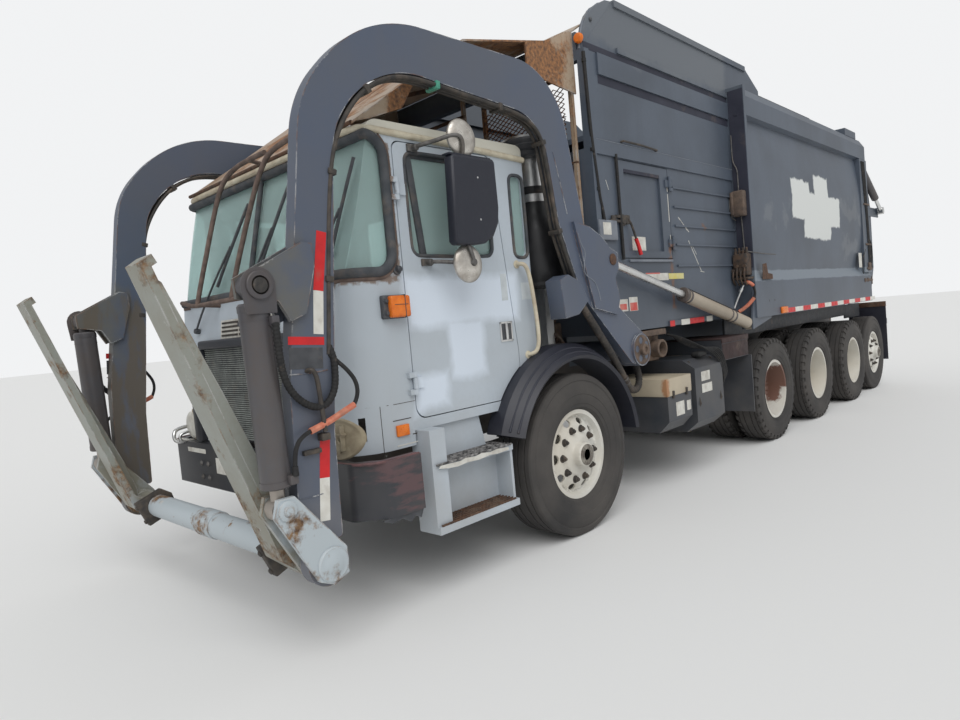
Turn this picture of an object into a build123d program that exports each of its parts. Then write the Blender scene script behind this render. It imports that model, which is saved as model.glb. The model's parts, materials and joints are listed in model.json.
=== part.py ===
from build123d import *
import math
import os

# Front-loading garbage truck with five axles, in millimetres.
# X points to the truck's left, Y to its rear and Z up. While it is drawn, Y is measured from the front axle.
# At the end every piece moves along Y together, so that the origin is on the ground under the middle of the truck.

os.makedirs("parts", exist_ok=True)
pieces = {}

# Clearances
pin_gap = 0.3
seat_gap = 0.3
panel_gap = 6

# Chassis frame
rail_outer_x = 430
rail_flange = 80
rail_web = 10
rail_bottom = 740
rail_top = 1030
rail_front_y = -1600
rail_rear_y = 7950
crossmember_size = 120
cab_mount_height = 15

# Wheels
rim_radius = 298
rim_seat_radius = 283
rim_lip = 12
bead_radius = rim_seat_radius + seat_gap
spindle_radius = 45
steer_tyre_width = 312
rear_tyre_width = 276
rim_half_width = 115
dual_outer_x = 1100
dual_inner_x = 760
dual_disc_x = (dual_outer_x + dual_inner_x) / 2

# Axles: name, place along the truck, wheel radius, kind of wheel, rim centre from the middle
axle_columns = ("name", "y", "radius", "kind", "rim_x")
axle_table = [
    ("front", 0, 540, "steer", 1045),
    ("pusher", 3370, 520, "dual", dual_outer_x),
    ("drive_front", 4700, 525, "dual", dual_outer_x),
    ("drive_rear", 6110, 525, "dual", dual_outer_x),
    ("tag", 7250, 520, "tag", 1060),
]
axles = [dict(zip(axle_columns, row)) for row in axle_table]
axle_tube_radius = 68
kingpin_x = 905
kingpin_radius = 24
kingpin_boss_radius = 52
kingpin_boss_height = 130
front_beam_drop = 90

# Cab
cab_half_width = 1050
cab_wall = 45
cab_bottom = 930
cab_floor = cab_mount_height + rail_top
cab_front_y = -1700
cab_sill_y = -1620
cab_brow_y = -1430
cab_rear_y = -180
cab_glass_bottom = 1790
cab_glass_top = 2490
cab_roof = 2580
cab_corner_radius = 260
tunnel_half_width = 400
tunnel_top = 1420
tunnel_front_y = -1300
windshield_rear_y = -1345
windshield_corner_radius = 105
quarter_window_bottom = 1875
quarter_window_top = 2380
glass_thickness = 8

# Cab doors
door_front_y = -1280
door_rear_top_y = -515
door_rear_bottom_y = -390
door_bottom = 985
door_top = 2485
door_window_front_y = -1205
door_window_rear_y = -545
door_window_bottom = 1865
door_window_top = 2440

# Small hinges of the cab doors and the side door
hinge_out = 16
hinge_pin_radius = 8
hinge_knuckle_radius = 14
hinge_half_height = 30
hinge_lug_radius = 12

# Bumper
bumper_front_y = -1750
bumper_side_y = -1394
bumper_half_width = 1190
bumper_bottom = 550
bumper_top = 840
bumper_wall = 60

# Hopper, the loading tub behind the cab; the body behind it is wider by a shoulder on each side
body_half_width = 1245
shoulder_width = 168
hopper_half_width = body_half_width - shoulder_width
hopper_wall = 50
hopper_front_y = 545
hopper_bottom = 1300
hopper_rail_z = 3360
hopper_top = 3810
hopper_top_front_y = 1000
hopper_top_rear_y = 3430
hopper_front_wall_top = 2660
hopper_header_top = hopper_rail_z + 128
trim_depth = 15

# Body behind the hopper
body_wall = 50
body_front_y = 2950
body_rear_y = 7060
shoulder_rear_y = body_front_y + 50
sill_bottom = 1270
sill_top = 1620
ledge_top = 1730
body_side_top = 3200
body_roof = 3500
body_bulge = 55

# Tailgate
tailgate_hinge_y = 7000
tailgate_hinge_z = 3560
tailgate_wall = 45
tailgate_half = body_half_width - 140
tailgate_rear_y = 7800
tailgate_gap = 10

# Lift arms
arm_inner_x = hopper_half_width + 58
arm_outer_x = arm_inner_x + 75
arm_mid_x = (arm_outer_x + arm_inner_x) / 2
arm_plate = 22
arm_pivot_y = 800
arm_pivot_z = 1165
arm_boss_radius = 120
arm_shaft_radius = 80
arm_top = 3040
arm_depth = 245

# Forks
fork_pivot_y = -2005
fork_pivot_z = 462
fork_tube_radius = 72
fork_mid_x = 958
fork_width = 160
fork_tip_y = -2550
fork_tip_z = 1860

# Cylinder pins, place along the truck and height
fork_cylinder_top = (-2219, 1719)
fork_cylinder_low = (-2200, 757)
arm_cylinder_eye = (487, 1833)
arm_cylinder_base = (2932, 1215)
tailgate_cylinder_base = (7120, 3130)
tailgate_cylinder_eye = (8080, 2590)
tailgate_cylinder_x = tailgate_half + 70
cylinder_pin_radius = 30
cylinder_eye_radius = 52
cylinder_eye_width = 70
neck_radius = 30


def wheel_plane(axle):
    # upright plane through an axle's centre line, drawn as distance from the middle and radius
    return Plane(origin=(0, axle["y"], axle["radius"]), x_dir=(1, 0, 0), z_dir=(0, -1, 0))


def centre_line(axle):
    return Axis((0, axle["y"], axle["radius"]), (1, 0, 0))


def side_outline(points, x_low, x_high):
    # flat piece with an outline in the lengthwise plane, between two distances from the middle
    with BuildPart() as piece:
        with BuildSketch(Plane.YZ.offset(x_low)):
            with BuildLine():
                Polyline(*points, close=True)
            make_face()
        extrude(amount=x_high - x_low)
    return piece.part


def cross_outline(points, y_low, y_high):
    # flat piece with an outline across the truck, between two places along it
    with BuildPart() as piece:
        with BuildSketch(Plane.XZ.offset(-y_high)):
            with BuildLine():
                Polyline(*points, close=True)
            make_face()
        extrude(amount=y_high - y_low)
    return piece.part


def block(x_range, y_range, z_range):
    # plain rectangular piece between pairs of limits
    size = [high - low for low, high in (x_range, y_range, z_range)]
    middle = [(high + low) / 2 for low, high in (x_range, y_range, z_range)]
    return Pos(*middle) * Box(*size, mode=Mode.PRIVATE)


def cross_bar(radius, x_range, y, z):
    # round bar across the truck
    length = x_range[1] - x_range[0]
    bar = Cylinder(radius, length, mode=Mode.PRIVATE)
    return Pos((x_range[0] + x_range[1]) / 2, y, z) * Rot(0, 90, 0) * bar


def hinge(surface_x, y, z, moving_side):
    # small outside hinge on an upright axis: the fixed lugs with their pin, and the moving knuckle with its leaf
    x = surface_x + hinge_out
    fixed = [Pos(x, y, z) * Cylinder(hinge_pin_radius, 4 * hinge_half_height, mode=Mode.PRIVATE)]
    back, front = sorted((y - moving_side * 45, y))
    lug_height = hinge_half_height - 2
    for sign in (-1, 1):
        middle_z = z + sign * (2 * hinge_half_height - lug_height / 2)
        fixed.append(
            block((surface_x, x + 8), (back, front), (middle_z - lug_height / 2, middle_z + lug_height / 2))
        )
        fixed.append(Pos(x, y, middle_z) * Cylinder(hinge_lug_radius, lug_height, mode=Mode.PRIVATE))
    leaf_y = sorted((y + moving_side * 4, y + moving_side * 60))
    bore = Cylinder(hinge_pin_radius + pin_gap, 2 * hinge_half_height, mode=Mode.PRIVATE)
    with BuildPart() as moving:
        add(Pos(x, y, z) * Cylinder(hinge_knuckle_radius, 2 * hinge_half_height, mode=Mode.PRIVATE))
        add(block((surface_x, surface_x + 12), leaf_y, (z - hinge_half_height, z + hinge_half_height)))
        add(Pos(x, y, z) * bore, mode=Mode.SUBTRACT)
    return fixed, moving.part


def both_sides(part):
    return [part, mirror(part, about=Plane.YZ)]


def save(name, *parts):
    # one node; its parts are joined where they touch
    with BuildPart() as piece:
        for part in parts:
            add(part)
    pieces[name] = piece


# Tyres


def tyre(axle, middle_x, width):
    outer = axle["radius"]
    belly = (outer + bead_radius) / 2
    half_profile = [
        (0.42 * width, outer),
        (0.485 * width, outer - 42),
        (0.5 * width, belly),
        (rim_half_width, rim_radius + 8),
        (rim_half_width - rim_lip - seat_gap, rim_radius),
        (rim_half_width - rim_lip - seat_gap, bead_radius),
    ]
    right = [(middle_x + x, r) for x, r in half_profile]
    left = [(middle_x - x, r) for x, r in reversed(half_profile)]
    with BuildPart() as piece:
        with BuildSketch(wheel_plane(axle)):
            with BuildLine():
                Polyline(*right, *left, close=True)
            make_face()
        revolve(axis=centre_line(axle))
    return piece.part


# Wheels, each with its hub; profiles as distance from the middle of the truck and radius


def single_wheel(axle):
    centre = axle["rim_x"]
    edge = centre + rim_half_width
    back = centre - rim_half_width
    disc = centre + 112
    cap = disc + 70
    bore = spindle_radius + pin_gap
    profile = [
        (back, rim_radius),
        (back + rim_lip, rim_radius),
        (back + rim_lip, rim_seat_radius),
        (edge - rim_lip, rim_seat_radius),
        (edge - rim_lip, rim_radius),
        (edge, rim_radius),
        (edge, 272),
        (disc - 42, 252),
        (disc - 4, 190),
        (disc - 4, 150),
        (disc + 8, 135),
        (disc + 8, 85),
        (cap, 78),
        (cap, 0),
        (cap - 18, 0),
        (cap - 18, bore),
        (kingpin_x + 105, bore),
        (kingpin_x + 105, 110),
        (disc - 30, 125),
        (disc - 14, 190),
        (disc - 56, 244),
        (back, 272),
    ]
    with BuildPart() as piece:
        with BuildSketch(wheel_plane(axle)):
            with BuildLine():
                Polyline(*profile, close=True)
            make_face()
        revolve(axis=centre_line(axle))
    return piece.part


def dual_wheel(axle):
    edge = dual_outer_x + rim_half_width
    between = dual_outer_x - rim_half_width
    disc = dual_disc_x
    far = dual_inner_x - rim_half_width
    near = dual_inner_x + rim_half_width
    cap = disc + 150
    bore = spindle_radius + pin_gap
    profile = [
        (edge, rim_radius),
        (edge - rim_lip, rim_radius),
        (edge - rim_lip, rim_seat_radius),
        (between + rim_lip, rim_seat_radius),
        (between + rim_lip, rim_radius),
        (between, rim_radius),
        (between, 268),
        (disc + 15, 230),
        (disc - 15, 230),
        (near, 268),
        (near, rim_radius),
        (near - rim_lip, rim_radius),
        (near - rim_lip, rim_seat_radius),
        (far + rim_lip, rim_seat_radius),
        (far + rim_lip, rim_radius),
        (far, rim_radius),
        (far, 272),
        (near - 25, 258),
        (disc - 25, 205),
        (disc - 25, 195),
        (far + 40, 200),
        (far + 40, bore),
        (cap - 25, bore),
        (cap - 25, 0),
        (cap, 0),
        (cap, 72),
        (disc + 70, 88),
        (disc + 65, 130),
        (disc + 15, 140),
        (disc + 15, 195),
        (between + 30, 258),
        (edge, 272),
    ]
    with BuildPart() as piece:
        with BuildSketch(wheel_plane(axle)):
            with BuildLine():
                Polyline(*profile, close=True)
            make_face()
        revolve(axis=centre_line(axle))
    return piece.part


for axle in axles:
    if axle["kind"] == "dual":
        tyres = [tyre(axle, x, rear_tyre_width) for x in (dual_outer_x, dual_inner_x)]
        wheel = dual_wheel(axle)
    else:
        width = steer_tyre_width if axle["kind"] == "steer" else rear_tyre_width
        tyres = [tyre(axle, axle["rim_x"], width)]
        wheel = single_wheel(axle)
    save(f"tyre_{axle['name']}_left", *tyres)
    save(f"tyre_{axle['name']}_right", *[mirror(t, about=Plane.YZ) for t in tyres])
    save(f"wheel_{axle['name']}_left", wheel)
    save(f"wheel_{axle['name']}_right", mirror(wheel, about=Plane.YZ))

# Frame rails with their crossmembers, the cab's rubber mounts and the bearings of the arms' cross shaft

rail_section = [
    (rail_outer_x, rail_bottom),
    (rail_outer_x, rail_top),
    (rail_outer_x - rail_flange, rail_top),
    (rail_outer_x - rail_flange, rail_top - rail_web),
    (rail_outer_x - rail_web, rail_top - rail_web),
    (rail_outer_x - rail_web, rail_bottom + rail_web),
    (rail_outer_x - rail_flange, rail_bottom + rail_web),
    (rail_outer_x - rail_flange, rail_bottom),
]
crossmember_places = [-1500, 560, 1400, 2500, 4035, 5400, 6680, 7880]
cab_mount_places = [-1350, -350]
rail = cross_outline(rail_section, rail_front_y, rail_rear_y)
rail_inside = rail_outer_x - rail_web
crossmembers = [
    block(
        (-rail_inside, rail_inside),
        (y - crossmember_size / 2, y + crossmember_size / 2),
        (rail_bottom + 80, rail_top - 40),
    )
    for y in crossmember_places
]
cab_mounts = [
    block((x - 38, x + 38), (y - 60, y + 60), (rail_top, cab_floor))
    for x in (rail_outer_x - 40, 40 - rail_outer_x)
    for y in cab_mount_places
]
bumper_back_y = bumper_front_y + bumper_wall
bumper_bracket = block(
    (rail_outer_x - rail_flange, rail_outer_x), (bumper_back_y, rail_front_y), (rail_bottom, bumper_top)
)
bearing_outline = [
    (arm_pivot_y - 130, rail_top),
    (arm_pivot_y - 130, arm_pivot_z - 40),
    (arm_pivot_y - 60, arm_pivot_z + 110),
    (arm_pivot_y + 60, arm_pivot_z + 110),
    (arm_pivot_y + 130, arm_pivot_z - 40),
    (arm_pivot_y + 130, rail_top),
]
bearing = side_outline(bearing_outline, rail_outer_x - rail_flange, rail_outer_x + 20)
shaft_hole = cross_bar(
    arm_shaft_radius + pin_gap, (-rail_outer_x - 50, rail_outer_x + 50), arm_pivot_y, arm_pivot_z
)
frame_parts = [
    *both_sides(rail), *crossmembers, *cab_mounts, *both_sides(bumper_bracket), *both_sides(bearing)
]
with BuildPart() as frame_rails:
    for part in frame_parts:
        add(part)
    add(shaft_hole, mode=Mode.SUBTRACT)
pieces["frame_rails"] = frame_rails

# Front axle beam with its kingpins and leaf springs

front = axles[0]
front_z = front["radius"]
beam_bottom = front_z - front_beam_drop - 60
with BuildPart() as front_beam:
    with BuildSketch(Plane.XZ.offset(60)):
        with BuildLine():
            Polyline(
                (-kingpin_x, front_z - 40),
                (-kingpin_x + 60, front_z + 40),
                (-620, front_z - front_beam_drop + 60),
                (620, front_z - front_beam_drop + 60),
                (kingpin_x - 60, front_z + 40),
                (kingpin_x, front_z - 40),
                (kingpin_x - 60, front_z - 45),
                (600, beam_bottom),
                (-600, beam_bottom),
                (-kingpin_x + 60, front_z - 45),
                close=True,
            )
        make_face()
    extrude(amount=-120)
    for side in (-1, 1):
        with BuildSketch(Plane.XY.offset(front_z - kingpin_boss_height / 2)):
            with Locations((side * kingpin_x, 0)):
                Circle(kingpin_boss_radius)
        extrude(amount=kingpin_boss_height)
        with BuildSketch(Plane.XY.offset(front_z - kingpin_boss_height / 2 - 60)):
            with Locations((side * kingpin_x, 0)):
                Circle(kingpin_radius)
        extrude(amount=kingpin_boss_height + 120)


def leaf_spring(y, axle_top, half_length, x_low, x_high):
    # curved pack of leaves that hangs from the rail's lower flange at both ends
    with BuildPart() as piece:
        with BuildSketch(Plane.YZ.offset(x_low)):
            with BuildLine():
                Line((y - half_length, rail_bottom), (y - half_length, rail_bottom - 45))
                ThreePointArc(
                    (y - half_length, rail_bottom - 45),
                    (y, axle_top),
                    (y + half_length, rail_bottom - 45),
                )
                Line((y + half_length, rail_bottom - 45), (y + half_length, rail_bottom))
                Line((y + half_length, rail_bottom), (y + half_length - 50, rail_bottom))
                ThreePointArc(
                    (y + half_length - 50, rail_bottom),
                    (y, axle_top + 75),
                    (y - half_length + 50, rail_bottom),
                )
                Line((y - half_length + 50, rail_bottom), (y - half_length, rail_bottom))
            make_face()
        extrude(amount=x_high - x_low)
    return piece.part


spring_low_x = rail_outer_x - rail_flange
front_spring = leaf_spring(0, front_z - front_beam_drop + 60 - 5, 640, spring_low_x, rail_outer_x)
save("front_axle", front_beam.part, *both_sides(front_spring))

# Rear axles: tube, spindles, differential and springs

rear_axles = []
for axle in axles[1:]:
    z = axle["radius"]
    spindle_end = (dual_disc_x + 150 if axle["kind"] == "dual" else axle["rim_x"] + 182) - 30
    shoulder = 640
    parts = [cross_bar(axle_tube_radius, (-shoulder, shoulder), axle["y"], z)]
    parts.append(cross_bar(spindle_radius, (-spindle_end, spindle_end), axle["y"], z))
    if axle["name"].startswith("drive"):
        parts.append(Pos(0, axle["y"], z) * Rot(90, 0, 0) * Cylinder(190, 260))
    spring = leaf_spring(axle["y"], z + axle_tube_radius - 12, 420, spring_low_x, rail_outer_x)
    parts += both_sides(spring)
    rear_axles += parts
save("rear_axles", *rear_axles)

# Steering knuckles, which turn on the kingpins and carry the front wheels

knuckle_ear = kingpin_boss_height / 2 + seat_gap
with BuildPart() as knuckle:
    with BuildSketch(Plane.XZ.offset(50)):
        with BuildLine():
            Polyline(
                (kingpin_x - 50, front_z + knuckle_ear),
                (kingpin_x - 50, front_z + knuckle_ear + 42),
                (kingpin_x + 60, front_z + knuckle_ear + 42),
                (kingpin_x + 95, front_z + 60),
                (kingpin_x + 95, front_z - 60),
                (kingpin_x + 60, front_z - knuckle_ear - 42),
                (kingpin_x - 50, front_z - knuckle_ear - 42),
                (kingpin_x - 50, front_z - knuckle_ear),
                (kingpin_x + 58, front_z - knuckle_ear),
                (kingpin_x + 58, front_z + knuckle_ear),
                close=True,
            )
        make_face()
    extrude(amount=-100)
    with BuildSketch(Plane.XY):
        with Locations((kingpin_x, 0)):
            Circle(kingpin_radius + pin_gap)
    extrude(amount=front_z * 2, mode=Mode.SUBTRACT)
spindle = cross_bar(spindle_radius, (kingpin_x + 60, front["rim_x"] + 150), 0, front_z)
save("knuckle_left", knuckle.part, spindle)
save("knuckle_right", mirror(knuckle.part, about=Plane.YZ), mirror(spindle, about=Plane.YZ))

# Engine and gearbox, one plain block between the rails

engine_half_width = 330
save(
    "engine",
    block((-engine_half_width, engine_half_width), (-1250, 150), (640, tunnel_top - 60)),
    block((-220, 220), (150, 500), (700, rail_top - 60)),
    block((-rail_inside, rail_inside), (-1000, -900), (rail_bottom + 60, rail_bottom + 160)),
    block((-rail_inside, rail_inside), (-150, -50), (rail_bottom + 60, rail_bottom + 160)),
)

# Cab


def cab_block(inset, bottom):
    # the cab's solid outline, drawn in by an inset on every face but the floor
    with BuildPart() as piece:
        with BuildSketch(Plane.XY.offset(bottom)):
            with BuildLine():
                FilletPolyline(
                    (-cab_half_width + inset, cab_rear_y - inset),
                    (-cab_half_width + inset, cab_front_y + inset),
                    (cab_half_width - inset, cab_front_y + inset),
                    (cab_half_width - inset, cab_rear_y - inset),
                    radius=(40, cab_corner_radius - inset, cab_corner_radius - inset, 40),
                    close=True,
                )
            make_face()
        extrude(amount=cab_roof - bottom)
        with BuildSketch(Plane.YZ.offset(-cab_half_width)):
            with BuildLine():
                FilletPolyline(
                    (cab_front_y + inset, bottom),
                    (cab_front_y + inset, 1200),
                    (cab_sill_y + inset, cab_glass_bottom),
                    (cab_brow_y + inset, cab_roof - inset),
                    (cab_rear_y - inset, cab_roof - inset),
                    (cab_rear_y - inset, bottom),
                    radius=(0, 0, 0, 90, 90, 0),
                    close=True,
                )
            make_face()
        extrude(amount=2 * cab_half_width, mode=Mode.INTERSECT)
    return piece.part


def windshield_cut(margin):
    # the windshield wraps round the cab's front corners, so its outline is drawn from the side
    with BuildPart() as piece:
        with BuildSketch(Plane.YZ.offset(-cab_half_width - 100)):
            with BuildLine():
                FilletPolyline(
                    (cab_front_y - 100, cab_glass_bottom + margin),
                    (cab_front_y - 100, cab_glass_top - margin),
                    (windshield_rear_y - margin, cab_glass_top - margin),
                    (windshield_rear_y - margin, cab_glass_bottom + margin),
                    radius=(0, 0, windshield_corner_radius - margin, windshield_corner_radius - margin),
                    close=True,
                )
            make_face()
        extrude(amount=2 * cab_half_width + 200)
    return piece.part


quarter_front_y = -350
quarter_rear_y = -225


def side_window_cut(front_y, rear_y, bottom, top, margin, radius):
    with BuildPart() as piece:
        with BuildSketch(Plane.YZ.offset(-cab_half_width - 100)):
            with BuildLine():
                FilletPolyline(
                    (front_y + margin, bottom + margin),
                    (front_y + margin, top - margin),
                    (rear_y - margin, top - margin),
                    (rear_y - margin, bottom + margin),
                    radius=radius,
                    close=True,
                )
            make_face()
        extrude(amount=2 * cab_half_width + 200)
    return piece.part


def rear_window_cut(margin):
    return block(
        (-650 + margin, 650 - margin),
        (cab_rear_y - cab_wall - 60, cab_rear_y + 60),
        (1850 + margin, 2350 - margin),
    )


def door_outline(margin):
    with BuildPart() as piece:
        with BuildSketch(Plane.YZ.offset(cab_half_width - cab_wall - 60)):
            with BuildLine():
                FilletPolyline(
                    (door_front_y + margin, door_bottom + margin),
                    (door_front_y + margin, door_top - margin),
                    (door_rear_top_y - margin, door_top - margin),
                    (door_rear_bottom_y - margin, door_bottom + 300),
                    (door_rear_bottom_y - margin, door_bottom + margin),
                    radius=(70, 50, 50, 400, 60),
                    close=True,
                )
            make_face()
        extrude(amount=cab_wall + 120)
    return piece.part


cab_outer = cab_block(0, cab_bottom)
cab_room = cab_block(cab_wall, cab_floor + cab_wall)
cab_skirt_bottom = bumper_top + 12
cab_skirt_rear_y = -1300
cab_skirt_outer = cab_block(0, cab_skirt_bottom)
cab_skirt_inner = cab_block(cab_wall, bumper_top)
quarter_cut = side_window_cut(
    quarter_front_y, quarter_rear_y, quarter_window_bottom, quarter_window_top, 0, 45
)
arch_radius = 745
grille_half_width = 600
grille_bottom = 860
grille_top = 1500
left_door_gap = door_outline(0)
arch_cut = cross_bar(arch_radius + seat_gap, (640, cab_half_width + 50), 0, front_z)
door_axis_y = door_front_y + panel_gap / 2
door_hinges = [hinge(cab_half_width, door_axis_y, z, 1) for z in (door_bottom + 200, door_top - 260)]
cab_cutters = [
    cab_room,
    block(
        (-cab_half_width + cab_wall, cab_half_width - cab_wall),
        (cab_front_y + cab_wall + 40, cab_rear_y + 10),
        (cab_bottom - 10, cab_floor),
    ),
]
tunnel_cover = block(
    (-tunnel_half_width, tunnel_half_width),
    (tunnel_front_y, cab_rear_y - cab_wall),
    (cab_floor, tunnel_top),
)
cab_openings = [
    block(
        (-tunnel_half_width + 30, tunnel_half_width - 30),
        (tunnel_front_y + 30, cab_rear_y + 20),
        (cab_floor - 10, tunnel_top - 30),
    ),
    windshield_cut(0),
    quarter_cut,
    rear_window_cut(0),
    *both_sides(left_door_gap),
    block(
        (-grille_half_width, grille_half_width),
        (cab_front_y - 50, cab_front_y + cab_wall + 60),
        (cab_skirt_bottom - 10, grille_top),
    ),
    *both_sides(arch_cut),
]
cab_lugs = [side_lug for fixed, moving in door_hinges for lug in fixed for side_lug in both_sides(lug)]

with BuildPart() as cab_skirt:
    add(cab_skirt_outer)
    add(cab_skirt_inner, mode=Mode.SUBTRACT)
    add(
        block(
            (-cab_half_width, cab_half_width),
            (cab_front_y, cab_skirt_rear_y),
            (cab_skirt_bottom, cab_bottom + 40),
        ),
        mode=Mode.INTERSECT,
    )

with BuildPart() as cab:
    add(cab_outer)
    add(cab_skirt.part)
    for cutter in cab_cutters:
        add(cutter, mode=Mode.SUBTRACT)
    add(tunnel_cover)
    for cutter in cab_openings:
        add(cutter, mode=Mode.SUBTRACT)
    for lug in cab_lugs:
        add(lug)
pieces["cab_shell"] = cab

# Fixed glass, a thin skin of the cab's own outline

glass_inset = 20
glass_outer = cab_block(glass_inset, cab_bottom)
glass_inner = cab_block(glass_inset + glass_thickness, cab_bottom)
glass_areas = [
    windshield_cut(seat_gap),
    side_window_cut(
        quarter_front_y, quarter_rear_y, quarter_window_bottom, quarter_window_top, seat_gap, 44
    ),
    rear_window_cut(seat_gap),
]
with BuildPart() as cab_glass:
    for area in glass_areas:
        add(area)
    add(glass_outer, mode=Mode.INTERSECT)
    add(glass_inner, mode=Mode.SUBTRACT)
pieces["cab_glass"] = cab_glass

# Cab doors with their glass and mirrors

door_skin = door_outline(panel_gap)
door_window = side_window_cut(
    door_window_front_y, door_window_rear_y, door_window_bottom, door_window_top, 0, 60
)
door_slab = block(
    (cab_half_width - cab_wall, cab_half_width), (door_front_y, door_rear_bottom_y), (door_bottom, door_top)
)
door_arch = cross_bar(arch_radius + panel_gap, (640, cab_half_width + 50), 0, front_z)
with BuildPart() as door:
    add(door_skin)
    add(door_slab, mode=Mode.INTERSECT)
    add(door_window, mode=Mode.SUBTRACT)
    add(door_arch, mode=Mode.SUBTRACT)
    for fixed, moving in door_hinges:
        add(moving)
door_glass_area = side_window_cut(
    door_window_front_y, door_window_rear_y, door_window_bottom, door_window_top, seat_gap, 59
)
door_glass_sheet = block(
    (cab_half_width - 30, cab_half_width - 30 + glass_thickness),
    (door_front_y, door_rear_bottom_y),
    (door_bottom, door_top),
)
with BuildPart() as door_glass:
    add(door_glass_area)
    add(door_glass_sheet, mode=Mode.INTERSECT)
mirror_x = cab_half_width + 190
mirror_half_depth = 35
mirror_y = (-1035, -790)
mirror_z = (1900, 2400)
round_mirror_radius = 145
mirror_post_y = mirror_y[0] + 75
mirror_arms = [
    block((cab_half_width, mirror_x), (mirror_post_y - 14, mirror_post_y + 14), (z - 14, z + 14))
    for z in (mirror_z[0] - 50, mirror_z[1] + 40)
]
mirror_post = block(
    (mirror_x - 14, mirror_x + 14),
    (mirror_post_y - 14, mirror_post_y + 14),
    (mirror_z[0] - 80, mirror_z[1] + 110),
)
with BuildPart() as mirror_head:
    with BuildSketch(Plane.YZ.offset(mirror_x - mirror_half_depth)):
        with BuildLine():
            FilletPolyline(
                (mirror_y[0], mirror_z[0]),
                (mirror_y[0], mirror_z[1]),
                (mirror_y[1], mirror_z[1]),
                (mirror_y[1], mirror_z[0]),
                radius=(60, 35, 35, 110),
                close=True,
            )
        make_face()
    extrude(amount=2 * mirror_half_depth)
round_mirrors = [
    Pos(mirror_x - 10, mirror_post_y + 30, z)
    * Rot(0, 90, 0)
    * Cylinder(round_mirror_radius, 40, mode=Mode.PRIVATE)
    for z in (mirror_z[0] - 60, mirror_z[1] + 110)
]
left_mirrors = [mirror_head.part, mirror_post, *mirror_arms, *round_mirrors]
save("door_left", door.part)
save("door_right", mirror(door.part, about=Plane.YZ))
save("door_glass_left", door_glass.part)
save("door_glass_right", mirror(door_glass.part, about=Plane.YZ))
save("mirrors_left", *left_mirrors)
save("mirrors_right", *[mirror(part, about=Plane.YZ) for part in left_mirrors])

# Inside of the cab: seats, dashboard and steering wheel

seat_x = 690
seat_parts = []
for side in (-1, 1):
    x = side * seat_x
    seat_parts.append(block((x - 210, x + 210), (-900, -470), (1300, 1500)))
    seat_parts.append(block((x - 210, x + 210), (-560, -440), (1500, 2150)))
    seat_parts.append(block((x - 120, x + 120), (-850, -520), (cab_floor + cab_wall, 1300)))
dashboard = block((-900, 900), (-1520, -1300), (1480, 1740))
dash_foot = block((-200, 200), (-1500, -1320), (cab_floor + cab_wall, 1480))
binnacle = block((seat_x - 130, seat_x + 130), (-1300, -1190), (1480, 1640))
steering_tilt = -27
steering_place = Pos(seat_x, -1120, 1700) * Rot(steering_tilt, 0, 0)
steering_column = steering_place * Pos(0, 0, -120) * Cylinder(30, 240)
steering_wheel = steering_place * Torus(220, 16)
steering_hub = steering_place * Box(420, 40, 24)
save("cab_interior", *seat_parts, dashboard, dash_foot, binnacle, steering_column, steering_wheel, steering_hub)

# Grille panel in the cab's front opening

grille_slat_pitch = 40
grille_back_y = cab_front_y + 50
grille_parts = [
    block(
        (-grille_half_width + seat_gap, grille_half_width - seat_gap),
        (grille_back_y, grille_back_y + 30),
        (grille_bottom, grille_top - seat_gap),
    )
]
slat_count = int((grille_top - grille_bottom) / grille_slat_pitch)
for n in range(slat_count):
    z = grille_bottom + (n + 0.5) * grille_slat_pitch
    grille_parts.append(
        block(
            (-grille_half_width + seat_gap, grille_half_width - seat_gap),
            (grille_back_y - 22, grille_back_y),
            (z - 6, z + 6),
        )
    )
save("grille", *grille_parts)

# Bumper, a channel bent back at both ends

with BuildPart() as bumper:
    with BuildSketch(Plane.XY.offset(bumper_bottom)):
        with BuildLine():
            FilletPolyline(
                (-bumper_half_width, bumper_side_y),
                (-bumper_half_width, bumper_front_y + 150),
                (-bumper_half_width + 130, bumper_front_y),
                (bumper_half_width - 130, bumper_front_y),
                (bumper_half_width, bumper_front_y + 150),
                (bumper_half_width, bumper_side_y),
                (bumper_half_width - bumper_wall, bumper_side_y),
                (bumper_half_width - bumper_wall, bumper_front_y + 150),
                (bumper_half_width - 155, bumper_front_y + bumper_wall),
                (-bumper_half_width + 155, bumper_front_y + bumper_wall),
                (-bumper_half_width + bumper_wall, bumper_front_y + 150),
                (-bumper_half_width + bumper_wall, bumper_side_y),
                radius=(0, 50, 50, 50, 50, 0, 0, 15, 15, 15, 15, 0),
                close=True,
            )
        make_face()
    extrude(amount=bumper_top - bumper_bottom)
pieces["bumper"] = bumper

# Front fenders around the steered wheels, and mudflaps behind the last wheels

flare_inner = 640
flare_profile = [
    (1000, flare_inner),
    (1225, flare_inner),
    (1240, flare_inner + 22),
    (1120, arch_radius),
    (1000, arch_radius),
    (1000, arch_radius - 18),
    (1112, arch_radius - 18),
    (1205, flare_inner + 18),
    (1000, flare_inner + 18),
]
with BuildPart() as flare_front:
    with BuildSketch(wheel_plane(front)):
        with BuildLine():
            Polyline(*flare_profile, close=True)
        make_face()
    revolve(axis=centre_line(front), revolution_arc=70)
with BuildPart() as flare_rear:
    with BuildSketch(wheel_plane(front)):
        with BuildLine():
            Polyline(*flare_profile, close=True)
        make_face()
    revolve(axis=centre_line(front), revolution_arc=-84)
flare_bracket = block((rail_outer_x, 1005), (470, 520), (front_z + 430, rail_top - 30))
flap_y = rail_rear_y - 45
flap = block((700, 1210), (flap_y, flap_y + 12), (350, 1180))
flap_bracket = block((rail_outer_x, 1210), (flap_y + 12, flap_y + 40), (rail_top - 140, rail_top - 60))
guard_parts = [flare_front.part, flare_rear.part, flare_bracket, flap, flap_bracket]
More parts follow.
